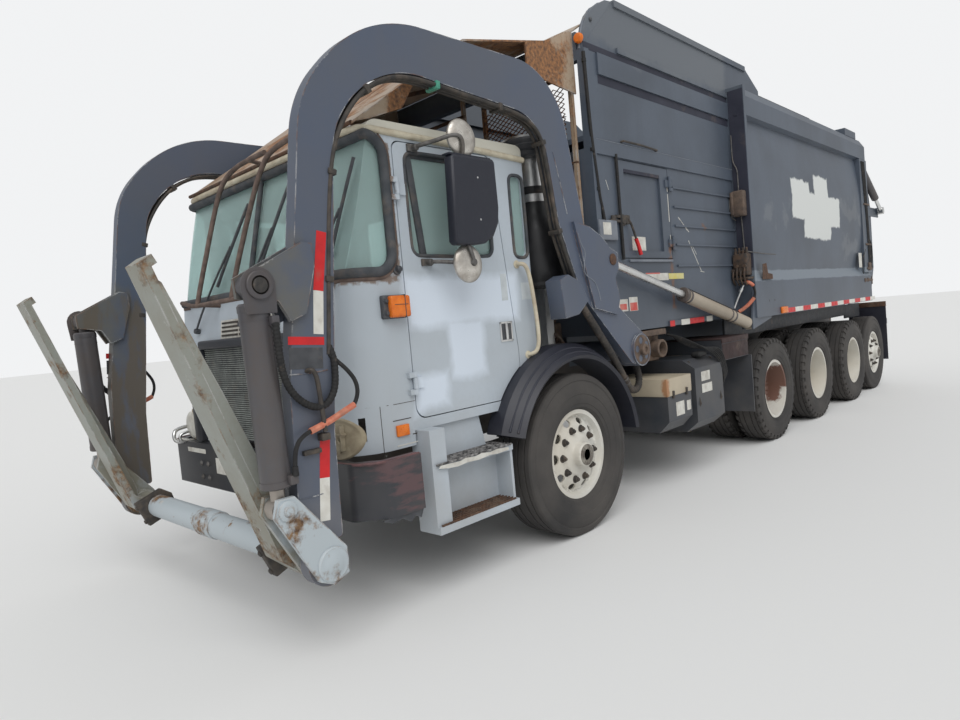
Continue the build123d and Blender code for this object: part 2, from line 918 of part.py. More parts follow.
with BuildPart() as wheel_guards:
    for part in guard_parts:
        add(part)
    mirror(about=Plane.YZ)
pieces["wheel_guards"] = wheel_guards

# Cab steps hung under the doors

step_front_y = -1290
step_rear_y = -640
step_low = 365
step_back_outline = [
    (step_front_y, cab_bottom),
    (step_front_y, step_low),
    (step_rear_y, step_low),
    (step_rear_y, 700),
    (step_rear_y - 95, 735),
    (step_rear_y - 140, cab_bottom),
]
step_parts = [
    block((1020, 1150), (step_front_y, step_front_y + 110), (step_low, cab_bottom)),
    block((1020, 1140), (step_rear_y - 20, step_rear_y), (step_low, 700)),
    side_outline(step_back_outline, 1000, 1020),
    block((1000, 1150), (step_front_y, step_rear_y), (700, 735)),
    block((1000, 1170), (step_front_y, step_rear_y), (step_low, step_low + 40)),
]
with BuildPart() as cab_steps:
    for part in step_parts:
        add(part)
    mirror(about=Plane.YZ)
pieces["cab_steps"] = cab_steps

# Air intake behind the cab

intake_x = 850
intake_y = 130
intake_parts = [
    Pos(intake_x, intake_y, 1850) * Cylinder(170, 360),
    Pos(intake_x, intake_y, 2300) * Cylinder(100, 560),
    Pos(intake_x, intake_y, 2640) * Cylinder(190, 130),
    block((spring_low_x, intake_x + 60), (intake_y - 40, intake_y + 40), (rail_top + 80, rail_top + 140)),
    block((intake_x - 60, intake_x + 60), (intake_y - 40, intake_y + 40), (rail_top + 140, 1670)),
    block((spring_low_x, rail_outer_x), (intake_y - 40, intake_y + 40), (rail_top, rail_top + 80)),
]
save("air_intake", *intake_parts)

# Boxes and tanks beside the rails

side_outer_x = 1235
battery_y = (1110, 1500)
battery_z = (470, 900)
tank_y = (1590, 2110)
tank_z = (390, 1000)
flap_plate_y = 2760
battery_box = cross_outline(
    [
        (700, battery_z[0]),
        (700, battery_z[1]),
        (side_outer_x, battery_z[1]),
        (side_outer_x, battery_z[0] + 90),
        (side_outer_x - 90, battery_z[0]),
    ],
    *battery_y,
)
battery_hangers = [
    block((rail_outer_x, 700), (y - 30, y + 30), (rail_bottom + 30, battery_z[1] - 40))
    for y in (battery_y[0] + 80, battery_y[1] - 180)
]
tank = cross_outline(
    [
        (640, tank_z[0]),
        (640, tank_z[1]),
        (side_outer_x - 110, tank_z[1]),
        (side_outer_x, tank_z[1] - 70),
        (side_outer_x, tank_z[0] + 90),
        (side_outer_x - 110, tank_z[0]),
    ],
    *tank_y,
)
tank_hangers = [
    block((rail_outer_x, 640), (y - 30, y + 30), (rail_bottom + 30, tank_z[1] - 50))
    for y in (tank_y[0] + 160, tank_y[1] - 160)
]
wheel_flap = block((640, side_outer_x), (flap_plate_y, flap_plate_y + 12), (380, 930))
tool_box = block((640, side_outer_x - 30), (tank_y[1] + 90, flap_plate_y + 12), (930, 1120))
tool_box_foot = block((rail_outer_x, 640), (tank_y[1] + 150, tank_y[1] + 450), (rail_top - 90, rail_top - 30))
side_pieces = [tank, *tank_hangers, wheel_flap, tool_box, tool_box_foot]
save(
    "boxes_and_tanks",
    battery_box,
    *battery_hangers,
    *[side_part for part in side_pieces for side_part in both_sides(part)],
)

# Hopper: two sides, a front wall and a floor

hopper_side_outline = [
    (hopper_front_y, hopper_bottom),
    (hopper_front_y, hopper_rail_z),
    (hopper_top_front_y, hopper_top),
    (hopper_top_rear_y, hopper_top),
    (hopper_top_rear_y + 350, body_roof + 130),
    (hopper_top_rear_y + 350, body_roof),
    (body_front_y, body_roof),
    (body_front_y, hopper_bottom),
]
hopper_side = side_outline(hopper_side_outline, hopper_half_width - hopper_wall, hopper_half_width)
side_door_y = (880, 1665)
side_door_z = (1860, 2615)
side_door_gap = block((hopper_half_width - hopper_wall - 10, hopper_half_width + 10), side_door_y, side_door_z)
side_door_axis_y = side_door_y[1] - panel_gap / 2
side_door_hinges = [
    hinge(hopper_half_width, side_door_axis_y, z, -1) for z in (side_door_z[0] + 130, side_door_z[1] - 130)
]
hopper_inner_half = hopper_half_width - hopper_wall
lid_bottom = 3560
lid_ledge = block(
    (hopper_inner_half - 42, hopper_inner_half),
    (hopper_front_y + 250, hopper_top_rear_y + 300),
    (body_roof, lid_bottom - seat_gap),
)
hopper_floor = block(
    (-hopper_inner_half, hopper_inner_half),
    (hopper_front_y, shoulder_rear_y),
    (hopper_bottom, hopper_bottom + 50),
)
hopper_front_wall = block(
    (-hopper_inner_half, hopper_inner_half),
    (hopper_front_y, hopper_front_y + 50),
    (hopper_bottom, hopper_front_wall_top),
)
hopper_header = block(
    (-hopper_inner_half, hopper_inner_half),
    (hopper_front_y, hopper_front_y + 60),
    (hopper_rail_z - 70, hopper_header_top),
)
trim_outer_x = hopper_half_width + trim_depth
# Trim on the hopper's sides: place along the truck and height of each bar
hopper_bars = [
    ((hopper_front_y, hopper_front_y + 60), (hopper_bottom, hopper_rail_z)),
    ((hopper_front_y + 60, body_front_y), (2620, 2725)),
    ((hopper_front_y + 170, body_front_y), (3205, hopper_rail_z)),
    ((1000, body_front_y), (hopper_rail_z + 55, hopper_rail_z + 95)),
    ((1500, body_front_y), (hopper_bottom, hopper_bottom + 40)),
    ((1000, hopper_top_rear_y), (hopper_top - 50, hopper_top)),
    *[((1725, body_front_y), (z - 8, z + 8)) for z in (1800, 1980, 2140, 2300, 2460)],
]
hopper_trim = [block((hopper_half_width, trim_outer_x), y_range, z_range) for y_range, z_range in hopper_bars]
with BuildPart() as hopper:
    for part in (hopper_side, lid_ledge, *hopper_trim):
        for side_part in both_sides(part):
            add(side_part)
    for part in (hopper_floor, hopper_front_wall, hopper_header):
        add(part)
    add(side_door_gap, mode=Mode.SUBTRACT)
    for fixed, moving in side_door_hinges:
        for lug in fixed:
            add(lug)
pieces["hopper"] = hopper

# Access door in the hopper's left side

side_door_panel = block(
    (hopper_half_width - 35, hopper_half_width),
    (side_door_y[0] + panel_gap, side_door_y[1] - panel_gap),
    (side_door_z[0] + panel_gap, side_door_z[1] - panel_gap),
)
side_door_dish = block(
    (hopper_half_width - 20, hopper_half_width + 5),
    (side_door_y[0] + 95, side_door_y[1] - 140),
    (side_door_z[0] + 60, side_door_z[1] - 70),
)
with BuildPart() as side_door:
    add(side_door_panel)
    add(side_door_dish, mode=Mode.SUBTRACT)
    for fixed, moving in side_door_hinges:
        add(moving)
pieces["side_door"] = side_door

# Packing blade at the front of the hopper

blade_half_width = hopper_half_width - hopper_wall - 12
blade_bottom = hopper_bottom + 50 + seat_gap
blade_outline = [
    (hopper_front_y + 90, blade_bottom),
    (hopper_front_y + 90, 2450),
    (hopper_front_y + 190, 2600),
    (hopper_front_y + 260, 2600),
    (hopper_front_y + 600, 1700),
    (hopper_front_y + 600, blade_bottom),
]
save("packing_blade", side_outline(blade_outline, -blade_half_width, blade_half_width))

# Sliding lid, parked open on its rails over the body; it slides forward to close the hopper

lid_top = lid_bottom + 40
lid_half_width = hopper_half_width - hopper_wall - 20
lid_rail_rear_y = 5450
lid_length = 2030
lid_y = (lid_rail_rear_y - 20 - lid_length, lid_rail_rear_y - 20)
save("hopper_lid", block((-lid_half_width, lid_half_width), lid_y, (lid_bottom, lid_top)))

# Body sides: a curved skin between the top rail and the sloping ledge above the sill

side_mid_z = (ledge_top + body_side_top) / 2
skin_x = body_half_width - body_bulge


def body_side():
    with BuildPart() as piece:
        with BuildSketch(Plane.XZ.offset(-body_rear_y)):
            with BuildLine():
                Polyline(
                    (body_half_width - 100, sill_bottom),
                    (body_half_width, sill_bottom),
                    (body_half_width, sill_top),
                    (skin_x, ledge_top),
                )
                ThreePointArc(
                    (skin_x, ledge_top),
                    (body_half_width, side_mid_z),
                    (skin_x, body_side_top),
                )
                Polyline(
                    (skin_x, body_side_top),
                    (body_half_width, body_side_top + 20),
                    (body_half_width, body_roof - 100),
                    (body_half_width - 60, body_roof),
                    (skin_x - body_wall, body_roof),
                    (skin_x - body_wall, body_side_top),
                )
                ThreePointArc(
                    (skin_x - body_wall, body_side_top),
                    (body_half_width - body_wall, side_mid_z),
                    (skin_x - body_wall, ledge_top),
                )
                Polyline(
                    (skin_x - body_wall, ledge_top),
                    (body_half_width - 100, sill_top),
                    (body_half_width - 100, sill_bottom),
                )
            make_face()
        extrude(amount=body_rear_y - shoulder_rear_y)
    return piece.part


shoulder = block(
    (hopper_half_width, body_half_width), (body_front_y, body_front_y + 50), (sill_bottom, body_roof)
)

# The arm cylinders' base pins sit in two plates under the sill's front corner, the outer one its toe

base_y, base_z = arm_cylinder_base
toe_outline = [
    (base_y - 55, base_z - 50),
    (base_y - 55, base_z + 40),
    (base_y + 20, sill_top - 60),
    (base_y + 420, sill_top - 60),
    (base_y + 420, base_z + 35),
]
inner_plate_outline = [
    (base_y - 55, base_z - 45),
    (base_y - 55, sill_bottom),
    (base_y + 300, sill_bottom),
]
cylinder_bay = cylinder_eye_width / 2 + 2.5
base_plates = [
    side_outline(toe_outline, arm_mid_x + cylinder_bay, arm_mid_x + cylinder_bay + 18),
    side_outline(inner_plate_outline, arm_mid_x - cylinder_bay - 18, arm_mid_x - cylinder_bay),
    cross_bar(
        cylinder_pin_radius,
        (arm_mid_x - cylinder_bay - 18, arm_mid_x + cylinder_bay + 15),
        base_y,
        base_z,
    ),
]

# The tailgate cylinders' base pins sit in two ears behind the body's rear posts

tail_base_y, tail_base_z = tailgate_cylinder_base
tail_ear_outline = [
    (body_rear_y, tail_base_z - 90),
    (body_rear_y, tail_base_z + 90),
    (tail_base_y + 30, tail_base_z + 45),
    (tail_base_y + 45, tail_base_z - 30),
]
tail_ears = [
    side_outline(tail_ear_outline, x, x + 16)
    for x in (tailgate_cylinder_x - cylinder_bay - 16, tailgate_cylinder_x + cylinder_bay)
]
tail_pin = cross_bar(
    cylinder_pin_radius,
    (tailgate_cylinder_x - cylinder_bay - 10, tailgate_cylinder_x + cylinder_bay + 10),
    tail_base_y,
    tail_base_z,
)
rear_post = block(
    (skin_x - 20, body_half_width + 12),
    (body_rear_y - 330, body_rear_y),
    (ledge_top - 60, body_side_top + 10),
)
body_side_parts = [body_side(), shoulder, *base_plates, *tail_ears, tail_pin, rear_post]
with BuildPart() as body_sides:
    for part in body_side_parts:
        add(part)
    mirror(about=Plane.YZ)
pieces["body_sides"] = body_sides

body_inner_half = skin_x - body_wall
lid_rail_outline = [
    (lid_half_width - 22, body_roof - 10),
    (lid_half_width - 22, lid_bottom - seat_gap),
    (lid_half_width + 5, lid_bottom - seat_gap),
    (lid_half_width + 5, lid_top),
    (lid_half_width + 45, lid_top),
    (lid_half_width + 45, body_roof - 10),
]
lid_rail = cross_outline(lid_rail_outline, hopper_top_rear_y + 355, lid_rail_rear_y)
tailgate_pin_radius = 25
tailgate_hinge_x = 835
hinge_arm_width = 30
hinge_ear_outline = [
    (tailgate_hinge_y - 90, body_roof - 10),
    (tailgate_hinge_y - 40, tailgate_hinge_z + 45),
    (tailgate_hinge_y + 40, tailgate_hinge_z + 45),
    (tailgate_hinge_y + 55, body_roof - 10),
]
hinge_ears = [
    side_outline(hinge_ear_outline, x, x + 25)
    for x in (tailgate_hinge_x - hinge_arm_width / 2 - 31, tailgate_hinge_x + hinge_arm_width / 2 + 6)
]
hinge_pin = cross_bar(
    tailgate_pin_radius,
    (tailgate_hinge_x - hinge_arm_width / 2 - 31, tailgate_hinge_x + hinge_arm_width / 2 + 31),
    tailgate_hinge_y,
    tailgate_hinge_z,
)
# Low hoods on the roof's rear corners
hood_inner_x = body_inner_half - 140
hood_y = (body_rear_y - 660, body_rear_y - 180)
hood_top = body_roof + 90
hood_parts = [
    block((hood_inner_x, body_inner_half), hood_y, (body_roof - 10, hood_top)),
    block((hood_inner_x, skin_x), hood_y, (body_roof + seat_gap, hood_top)),
]
roof_parts = [lid_rail, *hinge_ears, hinge_pin, *hood_parts]
save(
    "body_roof",
    block((-body_inner_half, body_inner_half), (shoulder_rear_y, body_rear_y), (body_roof - 60, body_roof)),
    *[side_part for part in roof_parts for side_part in both_sides(part)],
)
subframe_rail = block(
    (rail_outer_x - rail_flange, rail_outer_x), (arm_pivot_y + 150, body_rear_y), (rail_top, hopper_bottom)
)
save(
    "body_floor",
    block(
        (-body_half_width + 100, body_half_width - 100),
        (shoulder_rear_y, body_rear_y),
        (hopper_bottom, hopper_bottom + 50),
    ),
    *both_sides(subframe_rail),
)

# Lift arms, an upside-down U on each side, welded to the cross shaft

arm_outline = [
    (-2136, 560),
    (-2110, 1250),
    (-1912, 2581),
    (-1503, arm_top - 5),
    (5, arm_top + 10),
    (206, 2040),
    (330, 1650),
    (arm_pivot_y + 120, arm_pivot_z + 80),
    (arm_pivot_y + 80, arm_pivot_z - 120),
    (arm_pivot_y - 120, arm_pivot_z - 90),
    (112, 1603),
    (-75, 2060),
    (-175, arm_top - arm_depth - 75),
    (-1482, arm_top - arm_depth + 10),
    (-1747, 2434),
    (-1905, 1050),
    (-1920, 560),
]
arm_radii = (20, 300, 600, 850, 450, 300, 120, 60, 60, 90, 260, 400, 300, 600, 400, 300, 20)
eye_y, eye_z = arm_cylinder_eye
eye_plate_outline = [
    (60, 2080),
    (230, 2055),
    (eye_y - 120, eye_z + 160),
    (eye_y - 20, eye_z + 80),
    (eye_y + 70, eye_z + 48),
    (eye_y + 72, eye_z - 58),
    (eye_y + 20, eye_z - 130),
    (eye_y + 60, eye_z - 280),
    (eye_y + 10, eye_z - 390),
    (230, 1500),
]
top_y, top_z = fork_cylinder_top
horn_outline = [
    (top_y - 50, top_z - 45),
    (top_y - 55, top_z + 40),
    (-1990, 1905),
    (-1940, 1900),
    (-1935, 1800),
    (-2000, 1590),
    (-2080, 1560),
    (-2130, 1650),
]
with BuildPart() as left_arm:
    with BuildSketch(Plane.YZ.offset(arm_inner_x)):
        with BuildLine():
            FilletPolyline(*arm_outline, radius=arm_radii, close=True)
        make_face()
    extrude(amount=arm_outer_x - arm_inner_x)
plate_out_x = arm_outer_x + arm_plate
plate_in_x = arm_inner_x - arm_plate
arm_plates = [
    side_outline(eye_plate_outline, plate_in_x, arm_inner_x),
    side_outline(eye_plate_outline, arm_outer_x, plate_out_x),
    side_outline(horn_outline, plate_in_x, arm_inner_x),
    side_outline(horn_outline, arm_outer_x, plate_out_x),
    cross_bar(cylinder_pin_radius, (plate_in_x + 5, plate_out_x - 5), top_y, top_z),
]
fork_seat = cross_bar(fork_tube_radius + 33, (arm_inner_x, arm_outer_x), fork_pivot_y, fork_pivot_z)
pivot_boss = cross_bar(arm_boss_radius, (arm_inner_x - 55, arm_outer_x + 18), arm_pivot_y, arm_pivot_z)
left_arm_parts = [left_arm.part, *arm_plates, fork_seat, pivot_boss]
half_shaft = cross_bar(arm_shaft_radius, (0, arm_inner_x), arm_pivot_y, arm_pivot_z)
fork_bore = cross_bar(
    fork_tube_radius + pin_gap, (arm_inner_x - 50, arm_outer_x + 50), fork_pivot_y, fork_pivot_z
)
with BuildPart() as lift_arms:
    for part in left_arm_parts:
        add(part)
    add(half_shaft)
    add(fork_bore, mode=Mode.SUBTRACT)
    mirror(about=Plane.YZ)
pieces["lift_arms"] = lift_arms

# Forks on their cross tube, with the levers that the fork cylinders push

fork_angle = math.degrees(math.atan2(fork_tip_z - fork_pivot_z, fork_tip_y - fork_pivot_y))
fork_length = math.hypot(fork_tip_z - fork_pivot_z, fork_tip_y - fork_pivot_y)
fork_plane = Plane(
    origin=(fork_mid_x - fork_width / 2, fork_pivot_y, fork_pivot_z),
    x_dir=(0, math.cos(math.radians(fork_angle)), math.sin(math.radians(fork_angle))),
    z_dir=(1, 0, 0),
)
with BuildPart() as fork:
    with BuildSketch(fork_plane):
        with BuildLine():
            Polyline(
                (-95, -105),
                (-95, 40),
                (60, 120),
                (fork_length, 60),
                (fork_length + 15, 0),
                (fork_length - 25, -5),
                (fork_length - 30, 22),
                (120, 75),
                (40, 0),
                (0, -105),
                close=True,
            )
        make_face()
    extrude(amount=fork_width)
low_y, low_z = fork_cylinder_low
lever_outline = [
    (fork_pivot_y - 75, fork_pivot_z - 60),
    (low_y - 62, low_z - 20),
    (low_y - 40, low_z + 55),
    (low_y + 40, low_z + 55),
    (fork_pivot_y + 80, fork_pivot_z + 60),
    (fork_pivot_y + 80, fork_pivot_z - 60),
    (fork_pivot_y, fork_pivot_z - 95),
]
lever_gap = 8
lever_plate = 24
lever_in_x = arm_inner_x - lever_gap - lever_plate
lever_out_x = arm_outer_x + lever_gap + lever_plate
lever_plates = [
    side_outline(lever_outline, lever_in_x, lever_in_x + lever_plate),
    side_outline(lever_outline, lever_out_x - lever_plate, lever_out_x),
]
fork_parts = [
    fork.part,
    *lever_plates,
    cross_bar(cylinder_pin_radius, (lever_in_x + 2, arm_mid_x - cylinder_bay), low_y, low_z),
    cross_bar(cylinder_pin_radius, (arm_mid_x + cylinder_bay, lever_out_x - 2), low_y, low_z),
    cross_bar(fork_tube_radius, (0, lever_out_x), fork_pivot_y, fork_pivot_z),
]
with BuildPart() as forks:
    for part in fork_parts:
        add(part)
    mirror(about=Plane.YZ)
pieces["forks"] = forks

# Hydraulic cylinders: barrel, rod, eyes. Each runs from its base pin to its rod's eye


def cylinder(base, eye, middle_x, barrel_radius, rod_radius, barrel_length, rod_overlap, retract):
    # returns the barrel with its base eye and the rod with its eye
    dy = eye[0] - base[0]
    dz = eye[1] - base[1]
    length = math.hypot(dy, dz)
    plane = Plane(
        origin=(middle_x, base[0], base[1]),
        x_dir=(1, 0, 0),
        z_dir=(0, dy / length, dz / length),
    )
    neck = cylinder_eye_radius + 27
    eye_side = Plane.YZ.offset(middle_x - cylinder_eye_width / 2)
    with BuildPart() as barrel:
        with BuildSketch(plane):
            Circle(neck_radius)
        extrude(amount=neck)
        with BuildSketch(plane.offset(neck)):
            Circle(barrel_radius)
        extrude(amount=barrel_length - neck)
        with BuildSketch(plane.offset(barrel_length - rod_overlap - retract - 10)):
            Circle(rod_radius + pin_gap)
        extrude(amount=rod_overlap + retract + 10, mode=Mode.SUBTRACT)
        with BuildSketch(eye_side):
            with Locations(base):
                Circle(cylinder_eye_radius)
        extrude(amount=cylinder_eye_width)
        with BuildSketch(eye_side):
            with Locations(base):
                Circle(cylinder_pin_radius + pin_gap)
        extrude(amount=cylinder_eye_width, mode=Mode.SUBTRACT)
    with BuildPart() as rod:
        with BuildSketch(plane.offset(barrel_length - rod_overlap)):
            Circle(rod_radius)
        extrude(amount=length - barrel_length + rod_overlap)
        with BuildSketch(eye_side):
            with Locations(eye):
                Circle(cylinder_eye_radius)
        extrude(amount=cylinder_eye_width)
    return barrel.part, rod.part


# Cylinder sets: pins, distance from the middle, sizes, the rod's length inside and how far it goes in
cylinder_columns = (
    "name",
    "base",
    "eye",
    "middle_x",
    "barrel_radius",
    "rod_radius",
    "barrel_length",
    "rod_overlap",
    "retract",
)
tail_base = tailgate_cylinder_base
tail_eye = tailgate_cylinder_eye
cylinder_table = [
    ("fork_cylinder", fork_cylinder_top, fork_cylinder_low, arm_mid_x, 66, 32, 860, 500, 0),
    ("arm_cylinder", arm_cylinder_base, arm_cylinder_eye, arm_mid_x, 56, 29, 1360, 200, 1037),
    ("tailgate_cylinder", tail_base, tail_eye, tailgate_cylinder_x, 50, 26, 760, 600, 0),
]
for row in cylinder_table:
    c = dict(zip(cylinder_columns, row))
    set_name = c.pop("name")
    barrel, rod = cylinder(**c)
    save(f"{set_name}_barrels", *both_sides(barrel))
    save(f"{set_name}_rods", *both_sides(rod))

# Tailgate, a deep dished door hinged at the top

tailgate_front_y = body_rear_y + tailgate_gap
tailgate_outline = [
    (tailgate_front_y, hopper_bottom),
    (tailgate_front_y, body_roof - 60),
    (tailgate_front_y + 150, body_roof),
    (tailgate_rear_y - 250, body_roof - 150),
    (tailgate_rear_y, 2600),
    (tailgate_rear_y, 1750),
    (tailgate_rear_y - 250, hopper_bottom),
]
tail_eye_y, tail_eye_z = tailgate_cylinder_eye
tail_beam_front_y = tailgate_front_y + 280
tail_beam = block(
    (tailgate_half, tailgate_half + 15),
    (tail_beam_front_y, tail_eye_y + 70),
    (tail_eye_z - 90, tail_eye_z + 40),
)
tail_stub = cross_bar(
    cylinder_eye_radius, (tailgate_half, tailgate_cylinder_x - cylinder_bay), tail_eye_y, tail_eye_z
)
hinge_arm_outline = [
    (tailgate_hinge_y - 42, tailgate_hinge_z - 30),
    (tailgate_hinge_y - 42, tailgate_hinge_z + 30),
    (tailgate_front_y + 10, tailgate_hinge_z + 45),
    (tailgate_front_y + 250, body_roof - 20),
    (tailgate_front_y + 250, body_roof - 55),
    (tailgate_front_y + 60, body_roof - 55),
    (tailgate_front_y + 20, tailgate_hinge_z - 30),
]
hinge_arm = side_outline(
    hinge_arm_outline, tailgate_hinge_x - hinge_arm_width / 2, tailgate_hinge_x + hinge_arm_width / 2
)
hinge_hole = cross_bar(
    tailgate_pin_radius + pin_gap,
    (tailgate_hinge_x - hinge_arm_width, tailgate_hinge_x + hinge_arm_width),
    tailgate_hinge_y,
    tailgate_hinge_z,
)
tail_outer = side_outline(tailgate_outline, -tailgate_half, tailgate_half)
tail_fittings = [hinge_arm, tail_beam, tail_stub]
with BuildPart() as tailgate:
    add(tail_outer)
    with BuildSketch(Plane.YZ.offset(-tailgate_half + tailgate_wall)):
        with BuildLine():
            Polyline(
                (tailgate_front_y - 10, hopper_bottom + tailgate_wall),
                (tailgate_front_y - 10, body_roof - 60 - tailgate_wall),
                (tailgate_front_y + 150, body_roof - tailgate_wall),
                (tailgate_rear_y - 250 - 30, body_roof - 150 - tailgate_wall),
                (tailgate_rear_y - tailgate_wall, 2590),
                (tailgate_rear_y - tailgate_wall, 1765),
                (tailgate_rear_y - 250 - 20, hopper_bottom + tailgate_wall),
                close=True,
            )
        make_face()
    extrude(amount=2 * (tailgate_half - tailgate_wall), mode=Mode.SUBTRACT)
    for part in tail_fittings:
        for side_part in both_sides(part):
            add(side_part)
    for side_part in both_sides(hinge_hole):
        add(side_part, mode=Mode.SUBTRACT)
pieces["tailgate"] = tailgate

# Guard hood over the cab: a bent sheet that rises to the hopper, with side plates and a screen's frame

canopy_thickness = 12
canopy_half_width = hopper_inner_half - 27
canopy_rise = hopper_rail_z - cab_roof


def canopy_height(share):
    # height above the cab's roof, as a share of the way up to the hopper's rail
    return cab_roof + share * canopy_rise


canopy_line = [
    (-1480, canopy_height(-0.02)),
    (-1040, canopy_height(0.37)),
    (-600, canopy_height(0.77)),
    (220, canopy_height(1.0)),
    (hopper_front_y - 120, hopper_header_top - 25),
    (hopper_front_y + 10, hopper_header_top + canopy_thickness + 10),
    (hopper_front_y + 150, hopper_header_top + 110),
]
canopy_under = [(y, z - canopy_thickness) for y, z in reversed(canopy_line)]
canopy_sheet = side_outline(canopy_line + canopy_under, -canopy_half_width, canopy_half_width)
front_side_plate = side_outline(
    [
        canopy_line[0],
        canopy_line[1],
        (-1012, canopy_height(0.36)),
        (-1131, canopy_height(0.136)),
        (-1359, canopy_height(0.023)),
    ],
    canopy_half_width - canopy_thickness,
    canopy_half_width,
)
rear_side_plate = side_outline(
    [
        (0, canopy_height(0.93)),
        (220, canopy_height(0.993)),
        (hopper_front_y - 120, hopper_header_top - 31),
        (hopper_front_y - seat_gap, hopper_header_top + 12),
        (hopper_front_y - seat_gap, canopy_height(0.61)),
        (0, canopy_height(0.67)),
    ],
    canopy_half_width - canopy_thickness,
    canopy_half_width,
)
screen_y = hopper_front_y - 30
screen_bottom = 1900
screen_bars = [
    block((x, x + 30), (screen_y - 15, screen_y + 15), (screen_bottom, canopy_height(1.0)))
    for x in (canopy_half_width - canopy_thickness - 30, 100)
]
screen_feet = [
    block((x, x + 30), (screen_y - 15, hopper_front_y), (screen_bottom, screen_bottom + 60))
    for x in (canopy_half_width - canopy_thickness - 30, 100)
]
save(
    "canopy",
    canopy_sheet,
    *[
        side_part
        for part in (front_side_plate, rear_side_plate, *screen_bars, *screen_feet)
        for side_part in both_sides(part)
    ],
)

# Every piece is moved so that the origin is on the ground under the middle, named and written

boxes = [piece.part.bounding_box() for piece in pieces.values()]
middle_y = round((min(box.min.Y for box in boxes) + max(box.max.Y for box in boxes)) / 2, 1)
print("moved back by", middle_y)
for name, piece in pieces.items():
    piece.part = Pos(0, -middle_y, 0) * piece.part
    piece.part.label = name
    export_step(piece.part, f"parts/{name}.step")
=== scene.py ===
import bpy
import json
import math
from mathutils import Vector, Matrix


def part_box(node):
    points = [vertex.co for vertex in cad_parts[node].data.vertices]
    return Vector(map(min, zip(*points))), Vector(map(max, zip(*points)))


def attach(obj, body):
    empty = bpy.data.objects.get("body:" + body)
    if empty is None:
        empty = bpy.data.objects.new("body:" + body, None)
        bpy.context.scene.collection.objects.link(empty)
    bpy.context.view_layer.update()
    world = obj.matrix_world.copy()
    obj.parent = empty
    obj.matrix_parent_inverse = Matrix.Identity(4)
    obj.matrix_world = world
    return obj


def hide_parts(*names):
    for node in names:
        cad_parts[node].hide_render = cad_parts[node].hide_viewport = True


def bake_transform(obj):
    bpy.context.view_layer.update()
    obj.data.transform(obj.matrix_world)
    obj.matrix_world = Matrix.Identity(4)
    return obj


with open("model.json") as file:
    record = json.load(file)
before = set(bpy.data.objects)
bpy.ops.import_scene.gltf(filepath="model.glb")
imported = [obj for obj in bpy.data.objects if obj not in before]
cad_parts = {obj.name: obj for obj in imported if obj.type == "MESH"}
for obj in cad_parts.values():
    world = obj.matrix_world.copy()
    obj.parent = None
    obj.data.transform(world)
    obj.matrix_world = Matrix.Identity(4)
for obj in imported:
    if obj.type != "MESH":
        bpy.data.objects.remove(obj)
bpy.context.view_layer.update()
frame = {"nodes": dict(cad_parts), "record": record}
nodes = frame["nodes"]

# Places are written from the front axle, in metres, as the truck was measured: x to its left, y to its rear, z up.
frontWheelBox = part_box("wheel_front_left")
axleY = (frontWheelBox[0].y + frontWheelBox[1].y) / 2


def at(x, y, z):
    return Vector((x, y + axleY, z))


def route(points):
    # a line of places
    return [at(*point) for point in points]


def sideLine(x, places):
    # a line of places at one distance from the middle
    return [at(x, y, z) for y, z in places]


def arc(x, centre, radius, start, step, count):
    # places on a circle across the truck, by degrees
    turns = [math.radians(start + step * n) for n in range(count)]
    return [at(x, centre[0] + radius * math.cos(a), centre[1] + radius * math.sin(a)) for a in turns]


def deselectAll():
    if bpy.context.object and bpy.context.object.mode != "OBJECT":
        bpy.ops.object.mode_set(mode="OBJECT")
    bpy.ops.object.select_all(action="DESELECT")


# Camera, solved from the photograph
cameraView = {"place": (3.826, -3.598, 1.492), "turn": 44.283, "down": 3.407, "roll": -5.197, "lens": 25.05}


def addCamera(v):
    turn, down, roll = (math.radians(v[k]) for k in ("turn", "down", "roll"))
    forward = Vector((-math.sin(turn) * math.cos(down), math.cos(turn) * math.cos(down), -math.sin(down)))
    right = forward.cross(Vector((0, 0, 1))).normalized()
    up = right.cross(forward)
    rolledRight = right * math.cos(roll) + up * math.sin(roll)
    rolledUp = up * math.cos(roll) - right * math.sin(roll)
    bpy.ops.object.camera_add()
    camera = bpy.context.object
    camera.data.lens = v["lens"]
    camera.data.sensor_width = 36
    turned = Matrix((rolledRight, rolledUp, -forward)).transposed().to_4x4()
    camera.matrix_world = Matrix.Translation(at(*v["place"])) @ turned
    bpy.context.scene.camera = camera


deselectAll()
addCamera(cameraView)
print("camera set")

# Studio
studio = {"floor": (0.8, 0.8, 0.79), "wall": (0.93, 0.94, 0.95), "sky": 0.62, "sun": 1.55, "sunAngle": 50,
    "floorSize": 160, "seenWall": 0.95, "sunPlace": (6, -8, 12), "sunTilt": 42, "sunTurn": 52}


